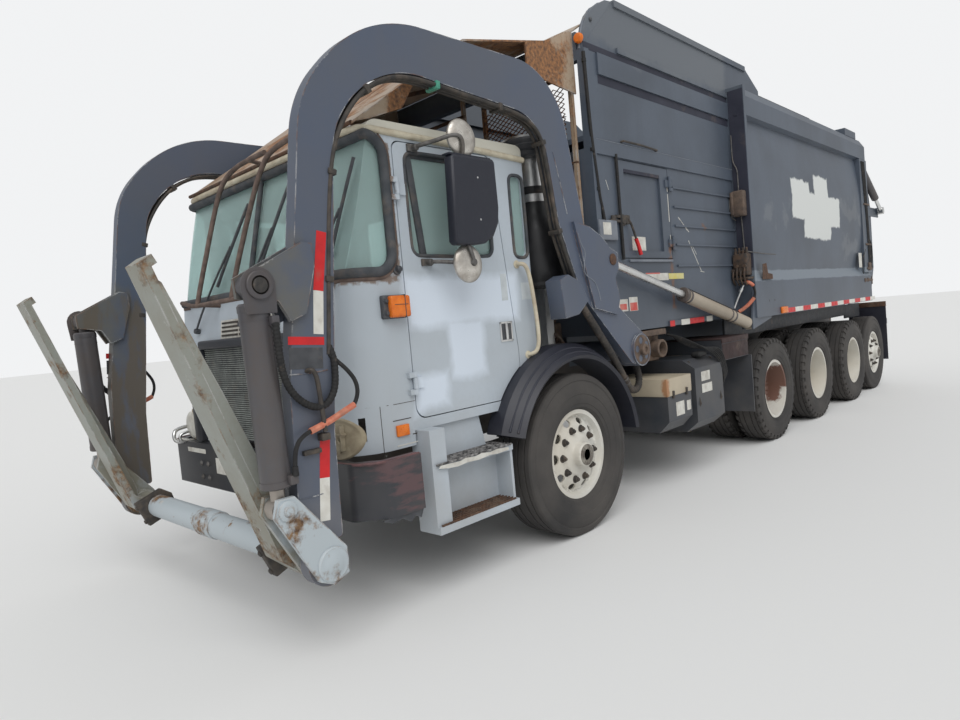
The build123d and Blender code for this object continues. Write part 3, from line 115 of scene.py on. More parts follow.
def addStudio(v):
    bpy.ops.mesh.primitive_plane_add(size=v["floorSize"], location=(0, 0, 0))
    floor = bpy.context.object
    floor.name = "floor"
    material = bpy.data.materials.new("paleFloor")
    material.use_nodes = True
    shader = material.node_tree.nodes["Principled BSDF"]
    shader.inputs["Base Color"].default_value = (*v["floor"], 1)
    shader.inputs["Roughness"].default_value = 0.9
    floor.data.materials.append(material)
    world = bpy.data.worlds.new("studioWorld")
    world.use_nodes = True
    bpy.context.scene.world = world
    tree = world.node_tree
    background = tree.nodes["Background"]
    rays = tree.nodes.new("ShaderNodeLightPath")
    seen = tree.nodes.new("ShaderNodeMath")
    seen.operation = "MAXIMUM"
    tree.links.new(rays.outputs["Is Camera Ray"], seen.inputs[0])
    tree.links.new(rays.outputs["Is Transmission Ray"], seen.inputs[1])
    strength = tree.nodes.new("ShaderNodeMapRange")
    strength.inputs["To Min"].default_value = v["sky"]
    strength.inputs["To Max"].default_value = v["seenWall"]
    tree.links.new(seen.outputs[0], strength.inputs["Value"])
    background.inputs["Color"].default_value = (*v["wall"], 1)
    tree.links.new(strength.outputs[0], background.inputs["Strength"])
    bpy.ops.object.light_add(type="SUN", location=v["sunPlace"])
    sun = bpy.context.object
    sun.data.energy = v["sun"]
    sun.data.angle = math.radians(v["sunAngle"])
    sun.rotation_euler = (math.radians(v["sunTilt"]), 0, math.radians(v["sunTurn"]))


addStudio(studio)
scene = bpy.context.scene
scene.view_settings.view_transform = "Standard"
print("studio set")

# Finishes


def wire(tree, kind, sockets=None, **settings):
    # one node, its settings, and its inputs as values or as outputs of other nodes
    made = tree.nodes.new(kind)
    for key, value in settings.items():
        setattr(made, key, value)
    for key, value in (sockets or {}).items():
        if isinstance(value, bpy.types.NodeSocket):
            tree.links.new(value, made.inputs[key])
        else:
            made.inputs[key].default_value = value
    return made


def blendColours(tree, factor, first, second, kind="MIX"):
    made = tree.nodes.new("ShaderNodeMix")
    made.data_type = "RGBA"
    made.blend_type = kind
    for key, value in ((0, factor), (6, first), (7, second)):
        if isinstance(value, bpy.types.NodeSocket):
            tree.links.new(value, made.inputs[key])
        elif isinstance(value, tuple) and len(value) == 3:
            made.inputs[key].default_value = (*value, 1)
        else:
            made.inputs[key].default_value = value
    return made.outputs[2]


def spread(tree, value, low, high, outLow=0.0, outHigh=1.0):
    # a value moved from one range to another, held inside it
    sockets = {"Value": value, "From Min": low, "From Max": high, "To Min": outLow, "To Max": outHigh}
    return wire(tree, "ShaderNodeMapRange", sockets).outputs[0]


def noise(tree, place, scale, detail=4.0, rough=0.55, stretch=None):
    if stretch:
        place = wire(tree, "ShaderNodeMapping", {"Vector": place, "Scale": stretch}).outputs[0]
    return wire(tree, "ShaderNodeTexNoise", {"Vector": place, "Scale": scale, "Detail": detail,
            "Roughness": rough}).outputs[0]


def times(tree, first, second, operation="MULTIPLY"):
    return wire(tree, "ShaderNodeMath", {0: first, 1: second}, operation=operation).outputs[0]


def newFinish(name):
    material = bpy.data.materials.new(name)
    material.use_nodes = True
    tree = material.node_tree
    place = tree.nodes.new("ShaderNodeTexCoord").outputs["Object"]
    return material, tree, tree.nodes["Principled BSDF"], place


def boxField(tree, place, box):
    # how far a place lies outside a box, less than nothing inside it
    x0, x1, y0, y1, z0, z1 = box
    middle = at((x0 + x1) / 2, (y0 + y1) / 2, (z0 + z1) / 2)
    away = wire(tree, "ShaderNodeVectorMath", {0: place, 1: middle}, operation="SUBTRACT").outputs[0]
    away = wire(tree, "ShaderNodeVectorMath", {0: away}, operation="ABSOLUTE").outputs[0]
    away = wire(tree, "ShaderNodeVectorMath", {0: away, 1: ((x1 - x0) / 2, (y1 - y0) / 2, (z1 - z0) / 2)},
        operation="SUBTRACT").outputs[0]
    parts = wire(tree, "ShaderNodeSeparateXYZ", {"Vector": away}).outputs
    return times(tree, times(tree, parts[0], parts[1], "MAXIMUM"), parts[2], "MAXIMUM")


def patched(tree, place, colour, v):
    # an area of another colour, given as boxes, with a soft and ragged border
    field = boxField(tree, place, v["boxes"][0])
    for box in v["boxes"][1:]:
        field = times(tree, field, boxField(tree, place, box), "MINIMUM")
    ragged = spread(tree, noise(tree, place, v.get("ragScale", 7), 6.0, 0.62, v.get("stretch")), 0.25, 0.75,
        -v["rag"], v["rag"])
    mask = spread(tree, times(tree, field, ragged, "ADD"), v["soft"], -v["soft"], 0, v.get("cover", 1.0))
    return blendColours(tree, mask, colour, v["colour"])


def wornPaint(name, v):
    # paint with patches of another shade, streaks that run down, chips, rust and dust low down
    material, tree, shader, place = newFinish(name)
    colour = blendColours(tree, spread(tree, noise(tree, place, v.get("patch", 1.3)), 0.4, 0.65),
        v["paint"], v["shade"])
    streaks = spread(tree, noise(tree, place, 2.2, 5.0, 0.6, (4, 4, 0.35)), 0.52, 0.72, 0, v.get("streak", 0.35))
    colour = blendColours(tree, streaks, colour, v.get("streakColour", v["shade"]))
    fine = noise(tree, place, v.get("grain", 38), 3.0, 0.6)
    colour = blendColours(tree, spread(tree, fine, 0.35, 0.75, 0, 0.3), colour, v["shade"])
    height = wire(tree, "ShaderNodeSeparateXYZ", {"Vector": place}).outputs["Z"]
    dust = times(tree, spread(tree, height, v.get("dustTop", 1.6), 0.3, 0, v.get("dust", 0.5)),
        spread(tree, noise(tree, place, 3.1, 6.0), 0.3, 0.7))
    colour = blendColours(tree, dust, colour, v.get("dustColour", (0.33, 0.29, 0.24)))
    for area in v.get("areas", ()):
        colour = patched(tree, place, colour, area)
    chipField = noise(tree, place, v.get("chipScale", 9), 9.0, 0.72)
    where = noise(tree, place, v.get("chipPatch", 0.9), 3.0)
    chipLevel = times(tree, chipField, times(tree, where, v.get("chip", 0.2)), "ADD")
    if v.get("edge"):
        bevelled = wire(tree, "ShaderNodeBevel", {"Radius": v["edge"]}, samples=4).outputs[0]
        normal = tree.nodes.new("ShaderNodeNewGeometry").outputs["Normal"]
        same = wire(tree, "ShaderNodeVectorMath", {0: bevelled, 1: normal}, operation="DOT_PRODUCT").outputs["Value"]
        chipLevel = times(tree, chipLevel, spread(tree, same, 0.97, 0.8, 0, v.get("edgeWear", 0.16)), "ADD")
    chips = spread(tree, chipLevel, v.get("chipFrom", 0.78), v.get("chipFrom", 0.78) + 0.03)
    rustShade = blendColours(tree, spread(tree, fine, 0.35, 0.65), v.get("rust", (0.23, 0.1, 0.045)),
        v.get("rustDark", (0.09, 0.05, 0.03)))
    bare = blendColours(tree, spread(tree, noise(tree, place, 6.0, 4.0), 0.45, 0.55),
        v.get("bare", (0.5, 0.5, 0.49)), rustShade)
    colour = blendColours(tree, chips, colour, bare)
    rustField = noise(tree, place, v.get("rustScale", 1.7), 9.0, 0.68)
    rustMask = spread(tree, rustField, v.get("rustFrom", 0.7), v.get("rustFrom", 0.7) + 0.07)
    colour = blendColours(tree, rustMask, colour, rustShade)
    tree.links.new(colour, shader.inputs["Base Color"])
    roughness = spread(tree, times(tree, rustMask, dust, "MAXIMUM"), 0, 1, v.get("rough", 0.42), 0.88)
    tree.links.new(roughness, shader.inputs["Roughness"])
    relief = times(tree, chips, times(tree, fine, 0.25), "SUBTRACT")
    bump = wire(tree, "ShaderNodeBump", {"Height": relief, "Strength": v.get("bump", 0.25), "Distance": 0.002},
        invert=True)
    tree.links.new(bump.outputs[0], shader.inputs["Normal"])
    shader.inputs["Specular IOR Level"].default_value = v.get("specular", 0.5)
    return material


# Areas of another colour: each box is x, y and z, from and to; soft is the border, rag how ragged it is
areas = {
    "bodyWhite": {"boxes": [(0.9, 1.4, 4.1, 4.68, 2.29, 2.72), (0.9, 1.4, 4.46, 5.4, 2.08, 2.6),
            (0.9, 1.4, 4.85, 5.36, 2.55, 2.82), (0.9, 1.4, 5.36, 5.77, 2.24, 2.59)], "colour": (0.66, 0.68, 0.66),
        "soft": 0.01, "rag": 0.032, "ragScale": 6},
    "bodyScuff": {"boxes": [(0.9, 1.4, 5.8, 6.6, 2.4, 2.55), (0.9, 1.4, 3.3, 3.95, 2.25, 2.34),
            (0.9, 1.4, 5.9, 6.5, 1.95, 2.1)], "colour": (0.3, 0.31, 0.31), "soft": 0.05, "rag": 0.22,
        "ragScale": 5, "cover": 0.18},
    # a lighter band along the body's sloping ledge, painted highlight where it faces the sky
    "bodyLedgeHighlight": {"boxes": [(-1.4, 1.4, 2.9, 7.2, 1.625, 1.735)], "colour": (0.17, 0.2, 0.235),
        "soft": 0.006, "rag": 0.01},
    "hopperTop": {"boxes": [(-1.2, 1.2, 0.5, 2.96, 3.42, 3.9)], "colour": (0.12, 0.135, 0.155), "soft": 0.05,
        "rag": 0.1, "ragScale": 3},
    "hopperRust": {"boxes": [(0.9, 1.2, 1.61, 1.65, 1.45, 1.98), (0.9, 1.2, 2.25, 2.29, 2.14, 2.17)],
        "colour": (0.17, 0.085, 0.05), "soft": 0.012, "rag": 0.035, "ragScale": 16, "cover": 0.85},
    "cabOverpaint": {"boxes": [(-1.2, 1.2, -1.28, -0.36, 1.48, 1.76), (-1.2, 1.2, -0.98, -0.7, 1.18, 1.5),
            (-1.2, 1.2, -1.26, -1.02, 1.03, 1.22)], "colour": (0.66, 0.73, 0.82), "soft": 0.03, "rag": 0.025,
        "ragScale": 4, "cover": 0.85},
    "cabCream": {"boxes": [(-1.3, 1.3, -1.8, 0.3, 2.51, 3.7)], "colour": (0.66, 0.64, 0.55),
        "soft": 0.01, "rag": 0.01},
    "cabRust": {"boxes": [(0.6, 1.2, -1.66, -1.315, 1.735, 1.775), (0.9, 1.2, -1.335, -1.3, 1.76, 2.46)],
        "colour": (0.17, 0.105, 0.065), "soft": 0.008, "rag": 0.025, "ragScale": 18, "cover": 0.85},
    "forkLight": {"boxes": [(1.13, 1.3, -2.6, -1.7, 0.25, 0.95), (-1.3, -1.13, -2.6, -1.7, 0.25, 0.95),
            (-0.86, 0.86, -2.2, -1.8, 0.25, 0.7)], "colour": (0.46, 0.52, 0.56), "soft": 0.02, "rag": 0.04,
        "ragScale": 5, "cover": 0.85},
    "wheelRust": {"boxes": [(-1.4, 1.4, 3.0, 3.75, 0.5, 0.74), (-1.175, 1.175, 3.0, 3.75, 0.36, 0.62)],
        "colour": (0.15, 0.062, 0.04), "soft": 0.012, "rag": 0.05, "ragScale": 9, "cover": 0.95},
    "coverRust": {"boxes": [(1.205, 1.26, 1.06, 1.125, 0.74, 0.91)], "colour": (0.33, 0.14, 0.05), "soft": 0.015,
        "rag": 0.035, "ragScale": 14, "cover": 0.85},
    "bumperScuff": {"boxes": [(1.12, 1.3, -1.58, -1.34, 0.64, 0.78), (1.12, 1.3, -1.74, -1.2, 0.822, 0.86)],
        "colour": (0.115, 0.062, 0.065), "soft": 0.03, "rag": 0.15, "ragScale": 6,
        "stretch": (1, 0.5, 2.5), "cover": 0.8},
    "hornDirt": {"boxes": [(1.05, 1.3, -2.4, -2.02, 1.45, 1.9), (-1.3, -1.05, -2.4, -2.02, 1.45, 1.9)],
        "colour": (0.125, 0.12, 0.1), "soft": 0.06, "rag": 0.1, "ragScale": 4, "cover": 0.8},
    "farArmDirt": {"boxes": [(-1.3, -1.1, -2.3, -1.7, 0.55, 1.75)], "colour": (0.115, 0.095, 0.07), "soft": 0.1,
        "rag": 0.45, "ragScale": 2.2, "stretch": (1, 3, 0.8), "cover": 0.85},
}
# Painted finishes: the material's name and its settings for wornPaint
paints = {
    "body": ("bodyPaint", {"paint": (0.084, 0.104, 0.136), "shade": (0.063, 0.077, 0.1), "rustFrom": 0.74,
            "chip": 0.16, "chipFrom": 0.8, "dust": 0.3, "areas": [areas[k]
                for k in ("hopperTop", "bodyLedgeHighlight", "bodyScuff", "bodyWhite", "hopperRust")]}),
    "arms": ("armPaint", {"paint": (0.077, 0.097, 0.142), "shade": (0.09, 0.102, 0.13), "edge": 0.012,
            "edgeWear": 0.24, "chipFrom": 0.8, "rustFrom": 0.72, "dust": 0.3,
            "areas": [areas["hornDirt"], areas["farArmDirt"]]}),
    "cab": ("cabPaint", {"paint": (0.475, 0.53, 0.585), "shade": (0.415, 0.46, 0.5), "chipFrom": 0.86,
            "rustFrom": 0.76, "rough": 0.35, "dust": 0.35,
            "areas": [areas[k] for k in ("cabOverpaint", "cabRust", "cabCream")]}),
    "forks": ("forkPaint", {"paint": (0.29, 0.305, 0.275), "shade": (0.23, 0.215, 0.165), "rustScale": 3.0,
            "edge": 0.014, "edgeWear": 0.24, "chipFrom": 0.74, "rustFrom": 0.555, "rust": (0.27, 0.165, 0.085),
            "dust": 0.25, "areas": [areas["forkLight"]]}),
    "canopy": ("canopyPaint", {"paint": (0.42, 0.33, 0.24), "shade": (0.31, 0.2, 0.125), "edge": 0.02,
            "edgeWear": 0.3, "rustFrom": 0.5, "rust": (0.36, 0.17, 0.07), "rustDark": (0.12, 0.065, 0.04)}),
    "barrelDark": ("barrelPaint", {"paint": (0.07, 0.07, 0.08), "shade": (0.085, 0.064, 0.052),
            "rustFrom": 0.7, "dust": 0.15}),
    "barrelBeige": ("barrelBeigePaint", {"paint": (0.42, 0.36, 0.28), "shade": (0.3, 0.25, 0.19), "rustFrom": 0.66}),
    "chassis": ("chassisPaint", {"paint": (0.03, 0.029, 0.031), "shade": (0.055, 0.046, 0.04),
            "rustFrom": 0.64, "dust": 0.3}),
    "wheel": ("wheelPaint", {"paint": (0.7, 0.69, 0.64), "shade": (0.6, 0.56, 0.48), "rustFrom": 0.66,
            "rustScale": 5, "dust": 0.2}),
    "wheelRusty": ("rustyWheelPaint", {"paint": (0.7, 0.69, 0.64), "shade": (0.6, 0.56, 0.48), "rustFrom": 0.62,
            "rustScale": 5, "dust": 0.2, "areas": [areas["wheelRust"]]}),
    "coverBeige": ("beigeCover", {"paint": (0.52, 0.45, 0.33), "shade": (0.42, 0.36, 0.27), "rustFrom": 0.64,
            "dust": 0.2, "areas": [areas["coverRust"]]}),
    "boxes": ("boxPaint", {"paint": (0.04, 0.047, 0.06), "shade": (0.033, 0.038, 0.047),
            "rustFrom": 0.72, "dust": 0.22}),
    "bumper": ("bumperPaint", {"paint": (0.014, 0.017, 0.024), "shade": (0.026, 0.029, 0.037),
            "rust": (0.14, 0.035, 0.03), "rustFrom": 0.66, "dust": 0.12, "areas": [areas["bumperScuff"]]}),
    "plastic": ("blackPlastic", {"paint": (0.012, 0.014, 0.024), "shade": (0.022, 0.024, 0.036), "rustFrom": 0.95,
            "chipFrom": 0.95, "rough": 0.45, "dust": 0.1, "streak": 0.2}),
    "interior": ("cabTrim", {"paint": (0.15, 0.155, 0.16), "shade": (0.1, 0.1, 0.105), "rustFrom": 0.95,
            "chipFrom": 0.95, "rough": 0.7}),
}
finishes = {key: wornPaint(*row) for key, row in paints.items()}


def rubber():
    material, tree, shader, place = newFinish("tyreRubber")
    colour = blendColours(tree, spread(tree, noise(tree, place, 2.4, 6.0), 0.3, 0.7), (0.03, 0.029, 0.029),
        (0.075, 0.068, 0.062))
    tree.links.new(colour, shader.inputs["Base Color"])
    shader.inputs["Roughness"].default_value = 0.82
    bump = wire(tree, "ShaderNodeBump", {"Height": noise(tree, place, 60, 4.0), "Strength": 0.25, "Distance": 0.002})
    tree.links.new(bump.outputs[0], shader.inputs["Normal"])
    return material


def chrome(name, tint, rough):
    material, tree, shader, place = newFinish(name)
    smear = spread(tree, noise(tree, place, 9, 5.0, 0.6, (1, 1, 0.4)), 0.35, 0.7, rough, rough + 0.22)
    tree.links.new(smear, shader.inputs["Roughness"])
    dull = tuple(0.72 * part for part in tint)
    tree.links.new(blendColours(tree, spread(tree, noise(tree, place, 5, 5.0, 0.6, (1, 1, 0.3)), 0.45, 0.8), tint,
            dull), shader.inputs["Base Color"])
    shader.inputs["Metallic"].default_value = 1.0
    return material


def tintedGlass():
    material, tree, shader, place = newFinish("cabGlass")
    haze = spread(tree, noise(tree, place, 3.0, 6.0), 0.35, 0.75, 0.03, 0.12)
    tree.links.new(haze, shader.inputs["Roughness"])
    shader.inputs["Base Color"].default_value = (0.6, 0.76, 0.74, 1)
    shader.inputs["Transmission Weight"].default_value = 0.66
    shader.inputs["IOR"].default_value = 1.1
    return material


def plainFinish(name, colour, other, scale=20, rough=0.5, metal=0.0, bump=0.15, grit=0.0,
    gritColour=(0.2, 0.15, 0.11)):
    # a smaller piece's finish: two shades, a little dirt and a fine surface
    material, tree, shader, place = newFinish(name)
    mixed = blendColours(tree, spread(tree, noise(tree, place, scale, 5.0), 0.35, 0.68), colour, other)
    dirt = spread(tree, noise(tree, place, scale * 0.35, 7.0, 0.65), 0.62 - grit * 0.3, 0.8, 0, 0.75)
    tree.links.new(blendColours(tree, dirt, mixed, gritColour), shader.inputs["Base Color"])
    tree.links.new(spread(tree, noise(tree, place, scale * 2, 3.0), 0.3, 0.7, rough, min(rough + 0.2, 1)),
        shader.inputs["Roughness"])
    shader.inputs["Metallic"].default_value = metal
    relief = wire(tree, "ShaderNodeBump", {"Height": noise(tree, place, scale * 6, 3.0), "Strength": bump,
            "Distance": 0.001})
    tree.links.new(relief.outputs[0], shader.inputs["Normal"])
    return material


# Smaller pieces' finishes: name, two shades, scale, roughness, metal, bump, grit and the grit's colour
smallFinishes = {
    "steelDark": ("darkSteel", (0.045, 0.042, 0.04), (0.09, 0.075, 0.062), 30, 0.55, 0.3, 0.3, 0.3),
    "hubGrease": ("hubPaint", (0.3, 0.28, 0.24), (0.12, 0.1, 0.085), 26, 0.5, 0.2, 0.3, 0.5, (0.07, 0.055, 0.045)),
    "grease": ("blackGrease", (0.018, 0.017, 0.017), (0.05, 0.045, 0.04), 45, 0.35, 0.0, 0.8, 0.2),
    "hoseBlack": ("blackHose", (0.009, 0.009, 0.01), (0.02, 0.0195, 0.019), 40, 0.65, 0.0, 0.2, 0.1),
    "hoseGrey": ("dustyHose", (0.026, 0.024, 0.023), (0.066, 0.057, 0.048), 18, 0.65, 0.0, 0.3, 0.4),
    "hoseRed": ("redSleeve", (0.52, 0.13, 0.075), (0.62, 0.24, 0.15), 35, 0.6, 0.0, 0.3, 0.35),
    "clampGreen": ("greenClamp", (0.05, 0.26, 0.18), (0.09, 0.34, 0.24), 30, 0.5, 0.0, 0.2, 0.3),
    "tapeRed": ("redTape", (0.62, 0.012, 0.014), (0.5, 0.01, 0.014), 12, 0.35, 0.0, 0.05, 0.08),
    "tapeWhite": ("whiteTape", (0.72, 0.71, 0.66), (0.6, 0.58, 0.52), 12, 0.4, 0.0, 0.05, 0.15),
    "plateDark": ("blankDarkPlate", (0.045, 0.048, 0.055), (0.075, 0.078, 0.085), 25, 0.45, 0.0, 0.05, 0.2),
    "plateWhite": ("blankWhitePlate", (0.66, 0.65, 0.6), (0.5, 0.48, 0.43), 14, 0.5, 0.0, 0.05, 0.3),
    "amber": ("amberLens", (0.8, 0.2, 0.015), (0.62, 0.13, 0.01), 24, 0.22, 0.0, 0.1, 0.05),
    "redLens": ("redLens", (0.42, 0.012, 0.012), (0.3, 0.01, 0.01), 24, 0.25, 0.0, 0.1, 0.05),
    "cream": ("creamPaint", (0.62, 0.57, 0.44), (0.48, 0.42, 0.31), 14, 0.5, 0.0, 0.15, 0.35, (0.26, 0.14, 0.07)),
    "rustPipe": ("rustyPipe", (0.095, 0.066, 0.055), (0.19, 0.135, 0.11), 22, 0.7, 0.1, 0.5, 0.3,
        (0.045, 0.035, 0.032)),
    "gasket": ("windowGasket", (0.04, 0.046, 0.054), (0.08, 0.084, 0.09), 16, 0.7, 0.0, 0.3, 0.35),
    "bucket": ("headlightBucket", (0.42, 0.36, 0.25), (0.26, 0.21, 0.14), 12, 0.6, 0.0, 0.2, 0.5,
        (0.09, 0.075, 0.06)),
    "stepTread": ("stepTread", (0.03, 0.029, 0.03), (0.38, 0.37, 0.36), 34, 0.6, 0.2, 0.3, 0.1),
    "rustTread": ("rustyTread", (0.13, 0.065, 0.038), (0.055, 0.04, 0.032), 24, 0.8, 0.1, 0.4, 0.3),
    "rustMesh": ("rustyMesh", (0.33, 0.13, 0.05), (0.17, 0.075, 0.04), 18, 0.8, 0.1, 0.3, 0.2),
    "valve": ("greasyValves", (0.035, 0.03, 0.027), (0.1, 0.06, 0.038), 28, 0.6, 0.1, 0.5, 0.3),
    "brownSteel": ("brownSteel", (0.15, 0.105, 0.078), (0.08, 0.06, 0.05), 20, 0.7, 0.1, 0.4, 0.3),
    "grilleGrey": ("grilleMesh", (0.22, 0.235, 0.22), (0.13, 0.14, 0.135), 16, 0.6, 0.1, 0.2, 0.3),
    "labelPale": ("blankLabel", (0.56, 0.6, 0.62), (0.48, 0.52, 0.54), 14, 0.5, 0.0, 0.05, 0.1),
    "mirrorShell": ("mirrorShell", (0.66, 0.63, 0.58), (0.4, 0.37, 0.33), 16, 0.25, 0.7, 0.15, 0.4),
    "bumperMaroon": ("wornBumperEdge", (0.16, 0.075, 0.075), (0.075, 0.05, 0.052), 16, 0.6, 0.0, 0.3, 0.2),
    # near-black navy, painted shade for recesses, the shoulder's front face and under the door's lip
    "paintedShade": ("shadedPost", (0.018, 0.02, 0.036), (0.032, 0.034, 0.052), 5, 0.6, 0.0, 0.1, 0.1),
    # a lighter body blue, painted highlight on edges, ledges and the sill where they catch the light; the hopper's
    # box lamp wears it too
    "bodyHighlight": ("bodyEdgeHighlight", (0.14, 0.155, 0.185), (0.22, 0.24, 0.27), 9, 0.5, 0.0, 0.15, 0.2),
    "labelYellow": ("yellowLabel", (0.66, 0.56, 0.1), (0.62, 0.58, 0.3), 8, 0.5, 0.0, 0.05, 0.2),
    "labelRed": ("redLabel", (0.55, 0.07, 0.06), (0.6, 0.22, 0.18), 16, 0.5, 0.0, 0.05, 0.15),
    "elbowBlack": ("blackElbow", (0.012, 0.012, 0.014), (0.024, 0.024, 0.026), 8, 0.35, 0.0, 0.05, 0.05),
    "fenderBlue": ("fenderRidge", (0.014, 0.016, 0.028), (0.03, 0.032, 0.046), 6, 0.4, 0.0, 0.1, 0.05),
    "toolBrown": ("toolBox", (0.042, 0.02, 0.019), (0.028, 0.017, 0.017), 10, 0.6, 0.0, 0.2, 0.2),
    "rodSteel": ("greyRod", (0.16, 0.155, 0.15), (0.09, 0.085, 0.08), 25, 0.45, 0.5, 0.2, 0.3),
}
for key, row in smallFinishes.items():
    finishes[key] = plainFinish(*row)
finishes["tyre"] = rubber()
finishes["chrome"] = chrome("rodChrome", (0.72, 0.72, 0.71), 0.2)
finishes["intake"] = chrome("intakeTube", (0.8, 0.8, 0.79), 0.32)
finishes["rodEye"] = chrome("wornRod", (0.42, 0.38, 0.34), 0.4)
finishes["glass"] = tintedGlass()
# What each slot of the solids wears, and the nodes that wear something else
slotFinish = {
    "tyre": "tyre", "wheel_white": "wheel", "chassis": "chassis", "cab": "cab", "glass": "glass",
    "black_plastic": "plastic", "interior": "interior", "bumper": "bumper", "stack": "intake", "boxes": "boxes",
    "body": "body", "forks": "forks", "barrel_dark": "barrelDark", "barrel_beige": "barrelBeige", "rod": "chrome",
    "canopy": "canopy",
}
ownFinish = {"lift_arms": "arms", "cab_steps": "cab", "fork_cylinder_rods": "rodEye"}
for part in frame["record"]["subparts"]:
    finish = finishes[slotFinish[part["material_slot"]]]
    if part["node"] in ownFinish:
        finish = finishes[ownFinish[part["node"]]]
    node = nodes[part["node"]]
    node.data.materials.clear()
    node.data.materials.append(finish)
print("finishes set")

# The bodies that pieces made in pairs ride, left and right; a pair rides the truck where none is given
armBodies = ("lift_arms", "lift_arms")
forkBodies = ("forks", "forks")
forkBarrelBodies = ("fork_cylinder_barrels", "fork_cylinder_barrels")
armBarrelBodies = ("arm_cylinder_barrels", "arm_cylinder_barrels")
tailgateBodies = ("tailgate", "tailgate")
doorBodies = ("door_left", "door_right")

# Pivots on the side of the truck, as lengths to the rear and heights
forkPivot = (-2.005, 0.462)
forkTip = (-2.55, 1.86)
forkLever = (-2.2, 0.757)
forkEye = (-2.219, 1.719)
armShaft = (0.8, 1.165)
armEyePin = (0.487, 1.833)

# Modelling steps that the pieces share


def choose(*pieces):
    deselectAll()
    for piece in pieces:
        piece.select_set(True)
    bpy.context.view_layer.objects.active = pieces[-1]


def settled(piece):
    # place, turn and size go into the mesh
    choose(piece)
    bpy.ops.object.transform_apply(location=True, rotation=True, scale=True)
    return piece


def tidied(piece, doubles=0.00001):
    choose(piece)
    bpy.ops.object.mode_set(mode="EDIT")
    bpy.ops.mesh.select_all(action="SELECT")
    bpy.ops.mesh.remove_doubles(threshold=doubles)
    bpy.ops.mesh.delete_loose(use_verts=True, use_edges=True, use_faces=False)
    bpy.ops.mesh.select_all(action="SELECT")
    bpy.ops.mesh.normals_make_consistent(inside=False)
    bpy.ops.object.mode_set(mode="OBJECT")
    return piece


def rounded(piece, width, segments=2, angle=40):
    choose(piece)
    edge = piece.modifiers.new("roundedEdge", "BEVEL")
    edge.width = width
    edge.segments = segments
    edge.limit_method = "ANGLE"
    edge.angle_limit = math.radians(angle)
    bpy.ops.object.modifier_apply(modifier=edge.name)
    return piece


def inset(piece, wanted, thickness, depth, individual):
    # the faces that a test picks are drawn in and sunk
    choose(piece)
    bpy.ops.object.mode_set(mode="EDIT")
    bpy.ops.mesh.select_mode(type="FACE")
    bpy.ops.mesh.select_all(action="DESELECT")
    bpy.ops.object.mode_set(mode="OBJECT")
    for face in piece.data.polygons:
        face.select = wanted(face)
    bpy.ops.object.mode_set(mode="EDIT")
    bpy.ops.mesh.inset(thickness=thickness, depth=depth, use_individual=individual)
    bpy.ops.object.mode_set(mode="OBJECT")


def cutAway(piece, cutter):
    choose(piece)
    cut = piece.modifiers.new("cut", "BOOLEAN")
    cut.operation = "DIFFERENCE"
    cut.object = cutter
    bpy.ops.object.modifier_apply(modifier=cut.name)
    bpy.data.objects.remove(cutter)


def joined(pieces):
    choose(*pieces)
    if len(pieces) > 1:
        bpy.ops.object.join()
    return bpy.context.object


def copied(piece, move=(0, 0, 0), spin=0.0, about=(0, 0, 0), axis="X"):
    # a copy with its own mesh, turned about a point and then moved
    choose(piece)
    bpy.ops.object.duplicate(linked=False)
    twin = bpy.context.object
    pivot = Vector(about)
    twin.matrix_world = Matrix.Translation(Vector(move) + pivot) @ Matrix.Rotation(spin, 4,
        axis) @ Matrix.Translation(-pivot)
    return settled(twin)


def mirrored(piece):
    choose(piece)
    bpy.ops.object.duplicate(linked=False)
    twin = bpy.context.object
    twin.scale.x = -1
    return tidied(settled(twin))


def whole(pieces):
    return joined(pieces) if isinstance(pieces, list) else pieces


def placed(pieces, name, finish, body, smooth=35):
    # one piece, or several joined, with its name, finish and body
    piece = whole(pieces)
    piece.name = name
    piece.data.name = name
    piece.data.materials.clear()
    piece.data.materials.append(finishes[finish])
    choose(piece)
    bpy.ops.object.shade_smooth_by_angle(angle=math.radians(smooth))
    if body:
        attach(piece, body)
    return piece


def bar(low, high, edge=0.002, segments=2):
    # a box between two corners with softened edges
    low, high = Vector(low), Vector(high)
    bpy.ops.mesh.primitive_cube_add(size=1, location=(low + high) / 2)
    piece = bpy.context.object
    piece.scale = high - low
    return rounded(settled(piece), edge, segments)


def box(low, high, edge=0.002, segments=2):
    return bar(at(*low), at(*high), edge, segments)


def sideLabel(face, front, rear, low, high, thick=0.0014, edge=0.0005):
    # a thin upright plate on a face of the left side
    return box((face, front, low), (face + thick, rear, high), edge, 1)


def plate(points, depth, edge=0.0015, segments=1):
    # a flat outline in space, drawn out along a direction
    bpy.ops.mesh.primitive_circle_add(vertices=len(points), radius=1, fill_type="NGON")
    piece = bpy.context.object
    for vertex, point in zip(piece.data.vertices, points):
        vertex.co = point
    bpy.ops.object.mode_set(mode="EDIT")
    bpy.ops.mesh.select_all(action="SELECT")
    bpy.ops.mesh.extrude_region_move(TRANSFORM_OT_translate={"value": tuple(depth)})
    bpy.ops.mesh.select_all(action="SELECT")
    bpy.ops.mesh.normals_make_consistent(inside=False)
    bpy.ops.object.mode_set(mode="OBJECT")
    return rounded(piece, edge, segments) if edge else piece


def turned(profile, centre, axis=(1, 0, 0), steps=32, sweep=360):
    # a profile of (distance along the axis, radius) spun about the axis
    axis = Vector(axis).normalized()
    side = axis.orthogonal().normalized()
    centre = Vector(centre)
    bpy.ops.mesh.primitive_circle_add(vertices=len(profile), radius=1, fill_type="NOTHING")
    piece = bpy.context.object
    for vertex, (along, radius) in zip(piece.data.vertices, profile):
        vertex.co = centre + axis * along + side * radius
    bpy.ops.object.mode_set(mode="EDIT")
    bpy.ops.mesh.select_all(action="SELECT")
    bpy.ops.mesh.spin(steps=steps, angle=math.radians(sweep), center=centre, axis=axis)
    bpy.ops.object.mode_set(mode="OBJECT")
    return tidied(piece)


